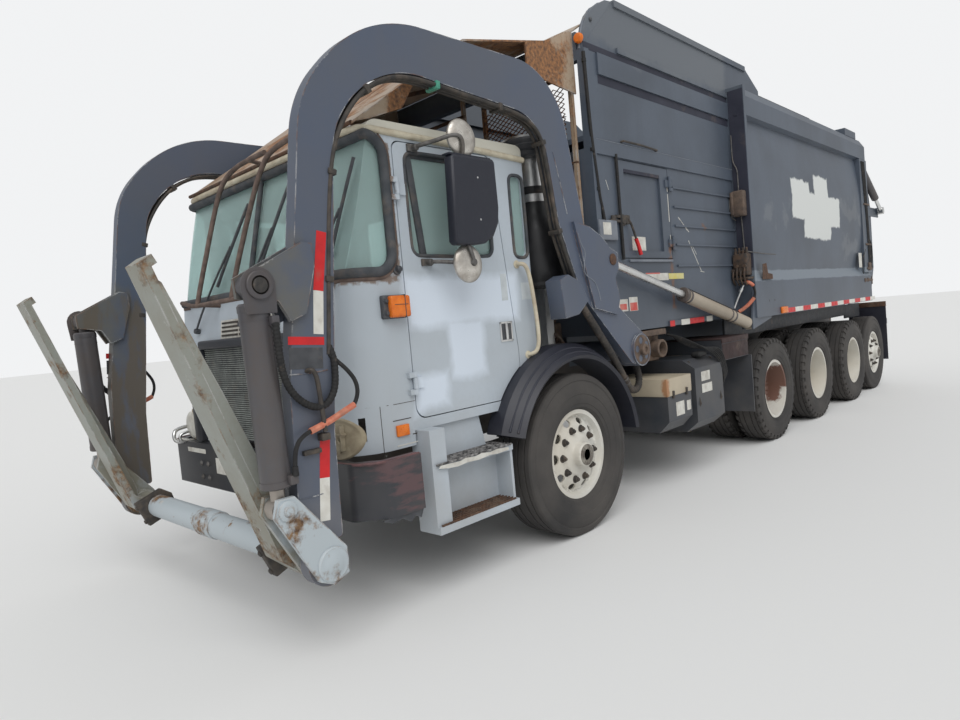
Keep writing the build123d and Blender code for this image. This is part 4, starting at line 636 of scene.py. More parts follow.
def smoothLine(points, order):
    bpy.ops.curve.primitive_nurbs_path_add(location=(0, 0, 0))
    holder = bpy.context.object
    holder.data.splines.clear()
    line = holder.data.splines.new("NURBS")
    line.points.add(len(points) - 1)
    for target, point in zip(line.points, points):
        target.co = (*point, 1)
    line.order_u = order
    line.use_endpoint_u = True
    return holder, line


def pipe(points, radius, turns=12, sides=6, order=3):
    # a round pipe or hose along a smooth line
    piece, line = smoothLine(points, order)
    line.resolution_u = turns
    piece.data.dimensions = "3D"
    piece.data.bevel_depth = radius
    piece.data.bevel_resolution = sides // 2 - 1
    piece.data.use_fill_caps = True
    choose(piece)
    bpy.ops.object.convert(target="MESH")
    return tidied(bpy.context.object, 0.0002)


def hose(points, radius, turns=12, sides=6, order=3):
    return pipe(route(points), radius, turns, sides, order)


def alongLine(points, count):
    # even places along the same smooth line, each with its direction
    holder, _ = smoothLine(points, 3)
    mesh = bpy.data.meshes.new_from_object(holder)
    dots = [v.co.copy() for v in mesh.vertices]
    bpy.data.meshes.remove(mesh)
    bpy.data.objects.remove(holder)
    reach = [0.0]
    for a, b in zip(dots, dots[1:]):
        reach.append(reach[-1] + (b - a).length)
    places = []
    for n in range(count):
        goal = reach[-1] * (n + 0.5) / count
        i = max(k for k in range(len(dots) - 1) if reach[k] <= goal)
        span = dots[i + 1] - dots[i]
        places.append((dots[i] + span * ((goal - reach[i]) / span.length), span.normalized()))
    return places


def bothSides(pieces, name, finish, smooth, bodies=("truck", "truck")):
    # the left piece, or several joined, and its mirrored twin
    piece = whole(pieces)
    twin = mirrored(piece)
    placed(piece, name + "Left", finish, bodies[0], smooth)
    placed(twin, name + "Right", finish, bodies[1], smooth)


# Tyres: ribs round the tread, blocks at the shoulders and rings on the side walls
tyre = {"bead": 0.2834, "rimHalf": 0.1026, "groove": 0.011, "steps": 72, "lug": 0.013}
axleTable = [
    {"name": "front", "y": 0.0, "radius": 0.54, "width": 0.312, "centres": (1.045,), "blocks": False},
    {"name": "pusher", "y": 3.37, "radius": 0.52, "width": 0.276, "centres": (1.1, 0.76), "blocks": True},
    {"name": "drive_front", "y": 4.7, "radius": 0.525, "width": 0.276, "centres": (1.1, 0.76), "blocks": True},
    {"name": "drive_rear", "y": 6.11, "radius": 0.525, "width": 0.276, "centres": (1.1, 0.76), "blocks": True},
    {"name": "tag", "y": 7.25, "radius": 0.52, "width": 0.276, "centres": (1.06,), "blocks": False},
]


def tyreMesh(v, row, x):
    w, r, g = row["width"], row["radius"], v["groove"]
    bead, middle = v["bead"], (r + v["bead"]) / 2
    half = [(0.0, r)]
    for share in (0.1, 0.27):
        half += [(share * w, r), (share * w + 0.003, r - g), (share * w + 0.01, r - g), (share * w + 0.013, r)]
    half += [
        (0.405 * w, r - 0.001), (0.44 * w, r - 0.008), (0.462 * w, r - 0.024), (0.468 * w, r - 0.044),
        (0.452 * w, r - 0.052), (0.47 * w, r - 0.066), (0.488 * w, r - 0.09), (0.496 * w, middle + 0.02),
        (0.494 * w, middle - 0.008), (0.484 * w, middle - 0.012), (0.482 * w, bead + 0.078),
        (0.465 * w, bead + 0.058), (0.455 * w, bead + 0.056), (0.44 * w, bead + 0.034), (0.126, bead + 0.024),
        (0.115, bead + 0.0155), (v["rimHalf"], bead + 0.012), (v["rimHalf"], bead),
    ]
    loop = half + [(-along, radius) for along, radius in reversed(half[1:])]
    piece = turned(loop, at(x, row["y"], r), steps=v["steps"])
    if row["blocks"]:
        centre = at(x, row["y"], r)

        def betweenBlocks(face):
            away = face.center - centre
            turn = math.atan2(away.z, away.y) % (2 * math.pi)
            step = int(turn / (2 * math.pi) * v["steps"])
            return math.hypot(away.y, away.z) > r - 0.035 and abs(away.x) > 0.33 * w and step % 2 == 0

        inset(piece, betweenBlocks, 0.003, -v["lug"], False)
    return piece


for row in axleTable:
    tyres = [tyreMesh(tyre, row, x) for x in row["centres"]]
    left = joined(tyres)
    right = mirrored(left)
    for side, piece in (("left", left), ("right", right)):
        node = f"tyre_{row['name']}_{side}"
        placed(piece, f"tread_{row['name']}_{side}", "tyre", f"wheel_{row['name']}_{side}", 30)
        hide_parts(node)
print("tyres made")

# Wheels: hand holes cut through the discs, nuts and hub details
# hole is half its height and width, nutFace how far the nuts stand out, cut where the hole starts and how deep
wheelDetail = {
    "single": {"holes": 10, "holeRadius": 0.222, "hole": (0.022, 0.034), "nuts": 10, "nutRing": 0.17, "nut": 0.019,
        "nutFace": 0.108, "nutHigh": 0.024, "cut": (-0.16, 0.32), "capReach": 0.074},
    "dual": {"holes": 10, "holeRadius": 0.212, "hole": (0.014, 0.036), "nuts": 10, "nutRing": 0.166, "nut": 0.019,
        "nutFace": 0.015, "nutHigh": 0.024, "cut": (-0.045, 0.21), "capReach": 0.135},
}


def ovalCutter(v, centre, turn):
    wide, high = v["hole"][1], v["hole"][0]
    ring = [(wide * math.cos(a), high * math.sin(a)) for a in (2 * math.pi * n / 16 for n in range(16))]
    points = [centre + Vector((v["cut"][0], sideways, v["holeRadius"] + out)) for sideways, out in ring]
    cutter = plate(points, (v["cut"][1], 0, 0), 0)
    return copied(cutter, spin=turn, about=centre), cutter


def wheelMesh(v, row):
    source = nodes[f"wheel_{row['name']}_left"]
    choose(source)
    bpy.ops.object.duplicate(linked=False)
    piece = tidied(bpy.context.object)
    middleX = sum(row["centres"]) / len(row["centres"])
    centre = at(middleX, row["y"], row["radius"])
    cutters = []
    for n in range(v["holes"]):
        cutter, spare = ovalCutter(v, centre, 2 * math.pi * (n + 0.5) / v["holes"])
        cutters.append(cutter)
        bpy.data.objects.remove(spare)
    cutAway(piece, joined(cutters))
    return tidied(piece)


def nutRing(v, row, faceX):
    bpy.ops.mesh.primitive_cylinder_add(vertices=6, radius=v["nut"], depth=v["nutHigh"], rotation=(0, math.pi / 2, 0))
    nut = rounded(settled(bpy.context.object), 0.003, 2)
    stud = turned([(0, 0), (0, 0.0105), (0.012, 0.0105), (0.014, 0.008), (0.014, 0)],
        (v["nutHigh"] / 2 - 0.002, 0, 0), steps=12)
    washer = turned([(0, 0), (0, 0.026), (0.004, 0.026), (0.006, 0.022), (0.006, 0)],
        (-v["nutHigh"] / 2, 0, 0), steps=20)
    nut = joined([stud, washer, nut])
    nuts = []
    for n in range(v["nuts"]):
        a = 2 * math.pi * n / v["nuts"]
        place = at(faceX + v["nutHigh"] / 2 - 0.001, row["y"] + v["nutRing"] * math.cos(a),
            row["radius"] + v["nutRing"] * math.sin(a))
        nuts.append(copied(nut, place))
    bpy.data.objects.remove(nut)
    return joined(nuts)


for row in axleTable:
    dual = len(row["centres"]) == 2
    v = wheelDetail["dual" if dual else "single"]
    x = row["centres"][0]
    left = wheelMesh(v, row)
    right = mirrored(left)
    for side, piece in (("left", left), ("right", right)):
        placed(piece, f"disc_{row['name']}_{side}", "wheelRusty" if row["name"] == "pusher" else "wheel",
            f"wheel_{row['name']}_{side}", 32)
        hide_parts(f"wheel_{row['name']}_{side}")
    faceX = (row["centres"][0] + row["centres"][1]) / 2 + v["nutFace"] if dual else x + v["nutFace"]
    nuts = nutRing(v, row, faceX)
    wheelBodies = (f"wheel_{row['name']}_left", f"wheel_{row['name']}_right")
    bothSides(nuts, f"nuts_{row['name']}_", "steelDark", 30, wheelBodies)
    # hub: stepped cap with a ring of small bolts
    capX = faceX + v["capReach"]
    centre = at(capX, row["y"], row["radius"])
    hub = [turned([(-0.004, 0), (-0.004, 0.07), (0.004, 0.07), (0.008, 0.062), (0.008, 0.04), (0.0, 0.036),
                (0.0, 0)], centre, steps=32)]
    for n in range(6):
        a = 2 * math.pi * n / 6
        spot = centre + Vector((0.006, 0.052 * math.cos(a), 0.052 * math.sin(a)))
        hub.append(turned([(0, 0), (0, 0.007), (0.005, 0.007), (0.007, 0.004), (0.007, 0)], spot, steps=8))
    bothSides(hub, f"hubCap_{row['name']}_", "hubGrease", 30, wheelBodies)
print("wheels made")

# Arms: lines along the inner edge, clamps, hose loops, tape, blank plates and welds
arm = {
    "outer": 1.21,
    "line": [(0.075, 1.64), (-0.02, 1.87), (-0.088, 2.03), (-0.115, 2.22), (-0.15, 2.44), (-0.18, 2.62),
        (-0.33, 2.708), (-0.6, 2.732), (-0.95, 2.755), (-1.24, 2.772), (-1.43, 2.725), (-1.6, 2.6), (-1.735, 2.4),
        (-1.79, 2.2), (-1.84, 1.85), (-1.875, 1.54), (-1.893, 1.4)],
    "lineX": (1.15, 1.182, 1.207), "lineRadius": 0.0115,
    "clamps": (6, 15, 22, 30, 38, 46, 54), "greenClamp": 3,
    # kind of tape, where it starts and where it ends
    "tapes": [("tapeRed", (-1.868, 1.957), (-1.916, 1.69)), ("tapeWhite", (-1.916, 1.69), (-1.938, 1.495)),
        ("tapeRed", (-1.962, 1.022), (-1.984, 0.848)), ("tapeWhite", (-1.984, 0.848), (-2.004, 0.655))],
    "tapeWidth": 0.052,
}


def strip(start, end, width, x, thick=0.0012):
    # a flat strip on the arm's outer face between two places along its middle line
    a, b = Vector((0, *start)), Vector((0, *end))
    across = Vector((0, (b - a).z, -(b - a).y)).normalized() * width / 2
    corners = [at(x, p.y, p.z) for p in (a + across, a - across, b - across, b + across)]
    return plate(corners, (thick, 0, 0), 0.0003)


for count, (kind, start, end) in enumerate(arm["tapes"]):
    bothSides(strip(start, end, arm["tapeWidth"], arm["outer"]), f"armTape{count}", kind, 30, armBodies)
bothSides(strip((-2.094, 1.478), (-1.913, 1.462), 0.036, arm["outer"]), "armLabelBar", "tapeRed",
    30, armBodies)
bothSides(strip((-2.098, 1.4), (-1.928, 1.386), 0.095, arm["outer"]), "armLabelPlate", "plateDark",
    30, armBodies)

lines = [pipe([at(x, y + shift, z) for y, z in arm["line"]], arm["lineRadius"])
    for x, shift in zip(arm["lineX"], (0.0, 0.004, -0.004))]
bothSides(lines, "armLines", "hoseGrey", 40, armBodies)
linePlaces = alongLine(sideLine(1.172, arm["line"]), 60)
for count, share in enumerate(arm["clamps"]):
    place, way = linePlaces[share]
    lean = math.atan2(way.z, way.y)
    block = bar(place + Vector((-0.04, -0.014, -0.021)), place + Vector((0.05, 0.014, 0.021)), 0.004)
    foot = turned([(0, 0), (0, 0.01), (0.034, 0.01), (0.038, 0.006), (0.038, 0)],
        place - Vector((0, 0, 0.05)), (0, 0, 1), 12)
    upright = joined([foot, block])
    clamp = copied(upright, spin=lean, about=place)
    bpy.data.objects.remove(upright)
    bothSides(clamp, f"armClamp{count}", "clampGreen" if count == arm["greenClamp"] else "steelDark",
        30, armBodies)


# Hoses beside the fork cylinder: the sleeved loop, the thin hose with its red sleeve and the stay rod
def hoseEnd(tip, following, radius, long=0.05):
    # a crimped collar at the end of a hose
    way = (Vector(following) - Vector(tip)).normalized()
    return turned([(0, 0), (0, radius * 1.5), (long * 0.4, radius * 1.5), (long * 0.45, radius * 1.35),
            (long, radius * 1.35), (long * 1.05, radius), (long * 1.05, 0)], tip, way, 16)


loopPath = route(((1.256, -2.17, 1.56), (1.256, -2.168, 1.44), (1.255, -2.16, 1.33), (1.244, -2.115, 1.24),
        (1.238, -2.03, 1.175), (1.236, -1.95, 1.17), (1.232, -1.893, 1.24), (1.226, -1.88, 1.34),
        (1.216, -1.878, 1.4), (1.195, -1.885, 1.44)))
loop = pipe(loopPath, 0.015)
rings = []
for place, way in alongLine(loopPath, 46):
    rings.append(turned([(-0.006, 0.012), (-0.006, 0.0155), (0.0, 0.017), (0.006, 0.0155), (0.006, 0.012)],
            place, way, 14))
bothSides([*rings, loop], "sleevedLoop", "hoseBlack", 40, armBodies)

thinPath = route(((1.205, -1.888, 1.4), (1.222, -1.872, 1.372), (1.238, -1.828, 1.325), (1.25, -1.788, 1.262),
        (1.254, -1.79, 1.19), (1.248, -1.818, 1.15)))
lowPath = route(((1.24, -2.045, 1.075), (1.248, -2.1, 1.06), (1.254, -2.135, 1.02), (1.256, -2.15, 0.96),
        (1.256, -2.152, 0.9)))
bothSides([hoseEnd(thinPath[0], thinPath[1], 0.01, 0.03), hoseEnd(lowPath[-1], lowPath[-2], 0.01, 0.04),
        pipe(lowPath, 0.01), pipe(thinPath, 0.01)], "thinHose", "hoseBlack", 40, armBodies)
sleeve = hose(((1.249, -1.812, 1.156), (1.243, -1.88, 1.128), (1.238, -1.96, 1.095), (1.24, -2.05, 1.073)), 0.0155)
bothSides(sleeve, "hoseSleeve", "hoseRed", 40, armBodies)
stay = hose(((1.208, -2.02, 1.335), (1.232, -2.01, 1.345), (1.236, -1.995, 1.33), (1.238, -1.985, 1.29),
        (1.242, -1.98, 1.15), (1.243, -1.975, 1.06)), 0.0105, order=3)
stayFoot = box((1.209, -2.0, 1.02), (1.252, -1.955, 1.052), 0.004)
bothSides([stayFoot, stay], "stayRod", "steelDark", 40, armBodies)
lug = box((1.209, -2.085, 0.968), (1.232, -1.995, 0.99), 0.004)
bothSides(lug, "armLug", "steelDark", 30, armBodies)

# Weld beads across the front leg and down the rear leg
beads = [
    hose(((1.2105, -2.105, 1.33), (1.2105, -2.0, 1.322), (1.2105, -1.91, 1.33)), 0.003, 6),
    hose(((1.2105, -0.08, 2.52), (1.2105, -0.02, 2.3), (1.2105, 0.02, 2.13)), 0.0028, 6),
    hose(((1.2105, -2.0, 0.78), (1.2105, -2.06, 0.775), (1.2105, -2.118, 0.785)), 0.0028, 6),
]
bothSides(beads, "armWelds", "arms", 40, armBodies)

# Boxy stop bracket on the rear leg
stopOutline = [(-0.15, 1.7), (-0.06, 1.735), (0.06, 1.69), (0.15, 1.56), (0.03, 1.47), (-0.12, 1.45)]
bracket = plate(sideLine(1.112, stopOutline), (0.128, 0, 0), 0.006, 2)
inset(bracket, lambda face: face.area > 0.02 and abs(face.normal.x) > 0.9, 0.01, -0.003, True)
bothSides(bracket, "stopBracket", "arms", 30, armBodies)

# Fork cylinders: a gland ring and the greasy cap at the top, and ports beside the barrel
top, low = at(1.1725, *forkEye), at(1.1725, *forkLever)
way = (low - top).normalized()
forkBarrel = [
    turned([(0.07, 0.05), (0.07, 0.06), (0.08, 0.0685), (0.105, 0.0685), (0.11, 0.066), (0.11, 0.05)], top, way, 40),
    turned([(0.835, 0.045), (0.835, 0.0685), (0.862, 0.0685), (0.868, 0.06), (0.868, 0.036), (0.835, 0.036)], top,
        way, 40),
    turned([(0.14, 0.062), (0.14, 0.0675), (0.146, 0.0675), (0.146, 0.062)], top, way, 40),
]
cap = turned([(-0.045, 0), (-0.045, 0.04), (0.0, 0.04), (0.004, 0.034), (0.012, 0.032), (0.016, 0.022), (0.016, 0)],
    top + Vector((0.074, 0, 0)), (1, 0, 0), 28)
eye = arc(1.233, forkEye, 0.078, 190, -20, 11)
eye += [at(1.233, -2.146, 1.6), at(1.233, -2.284, 1.6)]
eyeCheek = plate(eye, (0.011, 0, 0), 0.003, 2)
eyeCollar = turned([(0, 0.04), (0, 0.06), (0.012, 0.06), (0.015, 0.056), (0.015, 0.04)],
    at(1.244, *forkEye), (1, 0, 0), 32)
port = box((1.205, -2.185, 1.545), (1.262, -2.15, 1.59), 0.005)
portLow = box((1.205, -2.18, 0.865), (1.262, -2.14, 0.905), 0.005)
bothSides([*forkBarrel, eyeCollar, eyeCheek, port, portLow], "forkBarrelFittings", "barrelDark", 35,
    forkBarrelBodies)
bothSides(cap, "forkPinCap", "grease", 35, armBodies)
print("arms dressed")

# Forks: clamp pads, pin caps, round end caps and stiffener ribs on the lever plates
tilt = math.atan2(forkTip[1] - forkPivot[1], forkTip[0] - forkPivot[0])
along = Vector((0, math.cos(tilt), math.sin(tilt)))
out = Vector((0, -math.sin(tilt), math.cos(tilt)))
pivot = at(0.958, *forkPivot)
endCap = turned([(-0.006, 0), (-0.006, 0.08), (0.004, 0.08), (0.01, 0.072), (0.01, 0.05), (0.014, 0.044),
        (0.014, 0)], at(1.243, *forkPivot), (1, 0, 0), 40)
leverCap = turned([(-0.01, 0), (-0.01, 0.047), (0.01, 0.045), (0.016, 0.036), (0.016, 0.024), (0.024, 0.02),
        (0.024, 0)], at(1.24, *forkLever), (1, 0, 0), 28)
bothSides([endCap, leverCap], "forkEndCaps", "forks", 35, forkBodies)
pads = [plate([pivot + Vector((-0.158, 0, 0)) + along * a + out * b
            for a, b in ((-0.085, -0.095), (-0.085, 0.11), (0.095, 0.12), (0.095, -0.06), (0.03, -0.105))],
        (0.045, 0, 0), 0.006, 2)]
for a, b in ((-0.05, 0.118), (0.06, 0.122)):
    bolt = turned([(-0.012, 0), (-0.012, 0.016), (0.008, 0.016), (0.012, 0.011), (0.012, 0)],
        pivot + Vector((-0.136, 0, 0)) + along * a + out * (b - 0.006), out, 6)
    pads.append(bolt)
bothSides(pads, "forkPads", "steelDark", 30, forkBodies)
web = plate([pivot + Vector((0.0675, 0, 0)) + along * a + out * b
        for a, b in ((0.09, 0.086), (1.42, 0.03), (1.4, 0.016), (0.9, 0.002), (0.3, -0.004), (0.12, 0.01),
            (0.06, 0.03))], (0.012, 0, 0), 0.002, 1)
bothSides(web, "forkWebs", "forks", 30, forkBodies)
ribs = [pipe(arc(x, forkPivot, 0.075, 0, 30, 13), 0.006, 4) for x in (1.098, 0.868, 1.04)]
bothSides(ribs, "forkWelds", "forks", 40, forkBodies)
tubeBand = turned([(-0.1, 0.07), (-0.1, 0.076), (-0.085, 0.08), (0.085, 0.08), (0.1, 0.076), (0.1, 0.07)],
    at(0.0, *forkPivot), (1, 0, 0), 40)
placed(tubeBand, "crossTubeBand", "forks", "forks", 35)
print("forks dressed")


# Cab: window gaskets follow the outline of the glass on the cab's curved front
cab = {
    "half": 1.05, "corner": 0.26, "frontY": -1.7, "kneeZ": 1.2, "sillY": -1.62, "sillZ": 1.79,
    "browY": -1.43, "roofZ": 2.58,
"glassLow": 1.79, "glassHigh": 2.49, "glassRear": -1.345, "glassRound": 0.105,
}


def cabFrontY(v, z):
    # the front face leans back above the knee
    if z <= v["kneeZ"]:
        return v["frontY"]
    if z <= v["sillZ"]:
        return v["frontY"] + (v["sillY"] - v["frontY"]) * (z - v["kneeZ"]) / (v["sillZ"] - v["kneeZ"])
    return v["sillY"] + (v["browY"] - v["sillY"]) * (z - v["sillZ"]) / (v["roofZ"] - v["sillZ"])


def cabSkin(v, x, z, off=0.0):
    # a place on the cab's front or rounded corner at a distance from the middle
    y = cabFrontY(v, z)
    flat = v["half"] - v["corner"]
    if abs(x) > flat:
        y = max(y, v["frontY"] + v["corner"] - math.sqrt(max(v["corner"] ** 2 - (abs(x) - flat) ** 2, 0)))
    return at(x, y - off, z)


def gasketLine(v, grow, side):
    low, high, rear, bend = v["glassLow"] - grow, v["glassHigh"] + grow, v["glassRear"] + grow, v["glassRound"] + grow
    xs = (0.0, 0.3, 0.6, 0.79, 0.86, 0.92, 0.965)
    top = [cabSkin(v, x, high) for x in (0.0, 0.3, 0.6, 0.8, 0.93, 1.0, 1.035)]
    curve = [at(v["half"], rear - bend + bend * math.sin(a), high - bend + bend * math.cos(a))
        for a in (math.pi / 2 * n / 5 for n in range(6))]
    down = [at(v["half"], rear, high - bend - (high - low - 2 * bend) * n / 5) for n in range(1, 5)]
    under = [at(v["half"], rear - bend + bend * math.cos(a), low + bend - bend * math.sin(a))
        for a in (math.pi / 2 * n / 5 for n in range(6))]
    bottom = [cabSkin(v, x, low) for x in reversed((*xs, 1.0, 1.03, 1.045))]
    return [Vector((side * p.x, p.y, p.z)) for p in (*top, *curve, *down, *under, *bottom)]


gasketPieces = [pipe(gasketLine(cab, 0.004, side), 0.027, 5, 8) for side in (1, -1)]
placed(gasketPieces, "windshieldGasket", "gasket", "truck", 40)
for side, tag in ((1, "Left"), (-1, "Right")):
    line = gasketLine(cab, 0.036, side)
    placed(pipe(line[9:-4], 0.011, 5, 6), f"gasketRust{tag}", "rustPipe", "truck", 40)
divider = pipe([cabSkin(cab, 0.0, z, 0.004) for z in (1.79, 2.0, 2.2, 2.49)], 0.016, 4, 8)
placed(divider, "windshieldDivider", "gasket", "truck", 40)


def roundedFrame(front, rear, low, high, bend, x, radius):
    # a frame in the cab's side, closed, as one smooth pipe
    points = []
    for cy, cz, start in ((rear - bend, high - bend, 0), (rear - bend, low + bend, 90),
        (front + bend, low + bend, 180), (front + bend, high - bend, 270)):
        for n in range(4):
            a = math.radians(start + 30 * n)
            points.append(at(x, cy + bend * math.sin(a), cz + bend * math.cos(a)))
    middle = (points[0] + points[-1]) / 2
    return pipe([middle, *points, middle], radius, 4, 8)


quarter = roundedFrame(-0.356, -0.219, 1.867, 2.386, 0.045, 1.05, 0.011)
bothSides(quarter, "quarterGasket", "gasket", 40)
doorGasket = roundedFrame(-1.2, -0.55, 1.87, 2.435, 0.06, 1.044, 0.012)
bothSides(doorGasket, "doorGasket", "gasket", 40, doorBodies)
division = plate(sideLine(1.02, ((-1.185, 2.43), (-1.14, 2.43), (-1.085, 1.875), (-1.13, 1.875))),
    (0.02, 0, 0), 0.004, 2)
innerRail = box((1.018, -1.14, 2.405), (1.036, -0.56, 2.432), 0.004)
bothSides([division, innerRail], "doorDivision", "gasket", 30, doorBodies)

# Roof: a rain lip along each side and a brow over the windshield
lipPath = [at(1.052, -0.2, 2.49), at(1.056, -0.6, 2.505), at(1.056, -1.0, 2.515), at(1.054, -1.33, 2.52),
    at(1.044, -1.43, 2.528), at(0.99, -1.466, 2.532), at(0.86, -1.47, 2.534), at(0.6, -1.47, 2.534),
    at(0.0, -1.47, 2.534)]
lip = pipe(lipPath, 0.019, 6, 8)
bothSides(lip, "roofLip", "cream", 40)
strap = pipe([cabSkin(cab, x, 2.512, 0.01) for x in (-0.8, -0.5, 0.0, 0.5, 0.8)], 0.012, 6, 8)
placed(strap, "browRust", "rustPipe", "truck", 40)

# Guard of bent pipe in front of the windshield
guard = {
    "radius": 0.015,
    "bars": [
        ((0.8, -1.56, 2.59), (0.55, -1.58, 2.575), (0.37, -1.595, 2.545), (0.305, -1.605, 2.5), (0.24, -1.635, 2.38),
            (0.14, -1.7, 2.08), (0.055, -1.755, 1.8), (0.045, -1.76, 1.752)),
        ((0.3, -1.59, 2.56), (0.05, -1.59, 2.562), (-0.1, -1.592, 2.545), (-0.21, -1.61, 2.49),
            (-0.265, -1.64, 2.37), (-0.34, -1.7, 2.08), (-0.415, -1.755, 1.8), (-0.43, -1.76, 1.752)),
        ((0.9, -1.69, 1.735), (0.8, -1.745, 1.742), (0.4, -1.757, 1.745), (-0.2, -1.757, 1.745),
            (-0.52, -1.752, 1.745), (-0.64, -1.748, 1.772), (-0.8, -1.715, 1.79), (-0.88, -1.64, 1.792)),
    ],
    "stays": [((0.8, -1.585, 2.59), (0.8, -1.478, 2.552)), ((0.1, -1.588, 2.56), (0.1, -1.478, 2.545)),
        ((0.88, -1.7, 1.735), (0.88, -1.618, 1.735)), ((-0.4, -1.757, 1.745), (-0.4, -1.622, 1.735))],
}
guardBars = [hose(points, guard["radius"], 8, 8) for points in guard["bars"]]
guardBars += [hose((a, b), 0.012, 2, 8, 2) for a, b in guard["stays"]]
placed(guardBars, "windshieldGuard", "rustPipe", "truck", 40)


# Wipers: an arm and a blade in each pane
def wiper(foot, elbow, low, high):
    blade = pipe([at(*low), (at(*low) + at(*high)) / 2 + Vector((0, -0.008, 0)), at(*high)], 0.01, 4, 6)
    clip = (at(*low) + at(*high)) / 2 + Vector((0, -0.014, 0))
    rod = pipe([at(*foot), at(*elbow), clip], 0.007, 6, 6)
    hinge = turned([(-0.022, 0), (-0.022, 0.018), (0.0, 0.02), (0.012, 0.016), (0.012, 0)], at(*foot),
        (0, -1, 0.15), 14)
    return [blade, rod, hinge]


wipers = [*wiper((-0.7, -1.672, 1.59), (-0.5, -1.69, 1.76), (-0.4, -1.63, 1.86), (-0.04, -1.545, 2.33)),
    *wiper((-0.06, -1.672, 1.6), (0.06, -1.69, 1.76), (0.145, -1.63, 1.88), (0.45, -1.53, 2.38)),
    *wiper((0.64, -1.672, 1.6), (0.76, -1.69, 1.76), (0.86, -1.6, 1.88), (1.0, -1.49, 2.38))]
placed(wipers, "wipers", "plateDark", "truck", 40)

# Front: louvres, the grille's bar and fine mesh, side brackets and the far tow hook
louvre = plate([cabSkin(cab, x, z, 0.001) for x, z in ((-0.37, 1.52), (0.37, 1.52), (0.37, 1.638), (-0.37, 1.638))],
    (0, -0.006, 0), 0.002)
placed(louvre, "louvrePanel", "plateWhite", "truck", 30)
slots = []
for row in range(4):
    for column in range(3):
        x, z = -0.345 + 0.237 * column, 1.535 + 0.026 * row
        slots.append(bar(cabSkin(cab, x, z, 0.012), cabSkin(cab, x + 0.216, z + 0.0125,
                    0.012) + Vector((0, 0.006, 0)), 0.001, 1))
placed(slots, "louvreSlots", "steelDark", "truck", 30)
frameBars = [box((-0.6, -1.722, 1.462), (0.6, -1.668, 1.52), 0.016, 3)]
for side in (-1, 1):
    frameBars.append(box((side * 0.6 - 0.02, -1.712, 0.872), (side * 0.6 + 0.02, -1.672, 1.47), 0.008))
    frameBars.append(box((side * 0.69 - 0.05, -1.745, 0.85), (side * 0.69 + 0.05, -1.698, 1.18), 0.01))
placed(frameBars, "grilleFrame", "bumper", "truck", 30)
mesh = []
for n in range(44):
    z = 0.884 + 0.0132 * n
    mesh.append(box((-0.575, -1.688, z), (0.575, -1.678, z + 0.008), 0.0015, 1))
for n in range(6):
    x = -0.55 + 0.22 * n
    mesh.append(box((x - 0.003, -1.68, 0.88), (x + 0.003, -1.676, 1.46), 0.001, 1))
placed(mesh, "grilleMesh", "grilleGrey", "truck", 30)
hook = hose(((0.985, -1.7, 0.93), (0.985, -1.77, 0.925), (0.965, -1.8, 0.895), (0.96, -1.8, 0.85),
        (0.945, -1.77, 0.83), (0.94, -1.69, 0.832)), 0.013, 6, 10)
hookEye = hose(((0.9, -1.7, 0.905), (0.9, -1.775, 0.9), (0.9, -1.79, 0.862), (0.9, -1.76, 0.835),
        (0.9, -1.69, 0.838)), 0.01, 6, 10)
nearHook = joined([hookEye, hook])
placed(mirrored(nearHook), "towHook", "chrome", "truck", 40)
bpy.data.objects.remove(nearHook)

# Headlights: a round housing let into each corner, the near one an empty dish and the far one with its lens
lampAxis, lampPlace = Vector((0, -1, 0)), cabSkin(cab, 0.893, 0.945)
bowl = turned([(0.001, 0), (0.001, 0.03), (0.001, 0.06), (0.001, 0.08), (0.002, 0.092), (0.007, 0.098),
        (0.008, 0.104), (0.004, 0.109), (0.001, 0.11), (-0.004, 0.11), (-0.004, 0.06), (-0.004, 0)],
    lampPlace, lampAxis, 40)
for vertex in bowl.data.vertices:
    # the housing's rim and dish follow the cab's round corner
    vertex.co.y = cabSkin(cab, vertex.co.x, vertex.co.z, lampPlace.y - vertex.co.y).y
stub = [bar(lampPlace + Vector((-0.02, -0.012, 0.02)), lampPlace + Vector((0.045, 0.014, 0.032)), 0.003),
    bar(lampPlace + Vector((0.02, -0.012, -0.06)), lampPlace + Vector((0.032, 0.014, 0.07)), 0.003)]
wirePath = pipe([lampPlace + lampAxis * a + Vector(b) for a, b in ((-0.004, (-0.03, 0, 0.03)),
            (0.012, (-0.01, 0, 0.0)), (0.006, (0.02, 0, -0.03)), (0.0, (0.0, 0, -0.07)))], 0.005, 5, 6)
bucketParts = joined([wirePath, *stub, bowl])
farBucket = mirrored(bucketParts)
placed(bucketParts, "headlightBucket", "bucket", "truck", 35)
placed(farBucket, "headlightBucketFar", "bucket", "truck", 35)
lens = turned([(-0.11, 0.0), (-0.11, 0.092), (0.002, 0.094), (0.01, 0.084), (0.018, 0.05), (0.021, 0.0)],
    Vector((-lampPlace.x, lampPlace.y - 0.012, lampPlace.z)), lampAxis, 40)
placed(lens, "headlightLens", "plateWhite", "truck", 40)

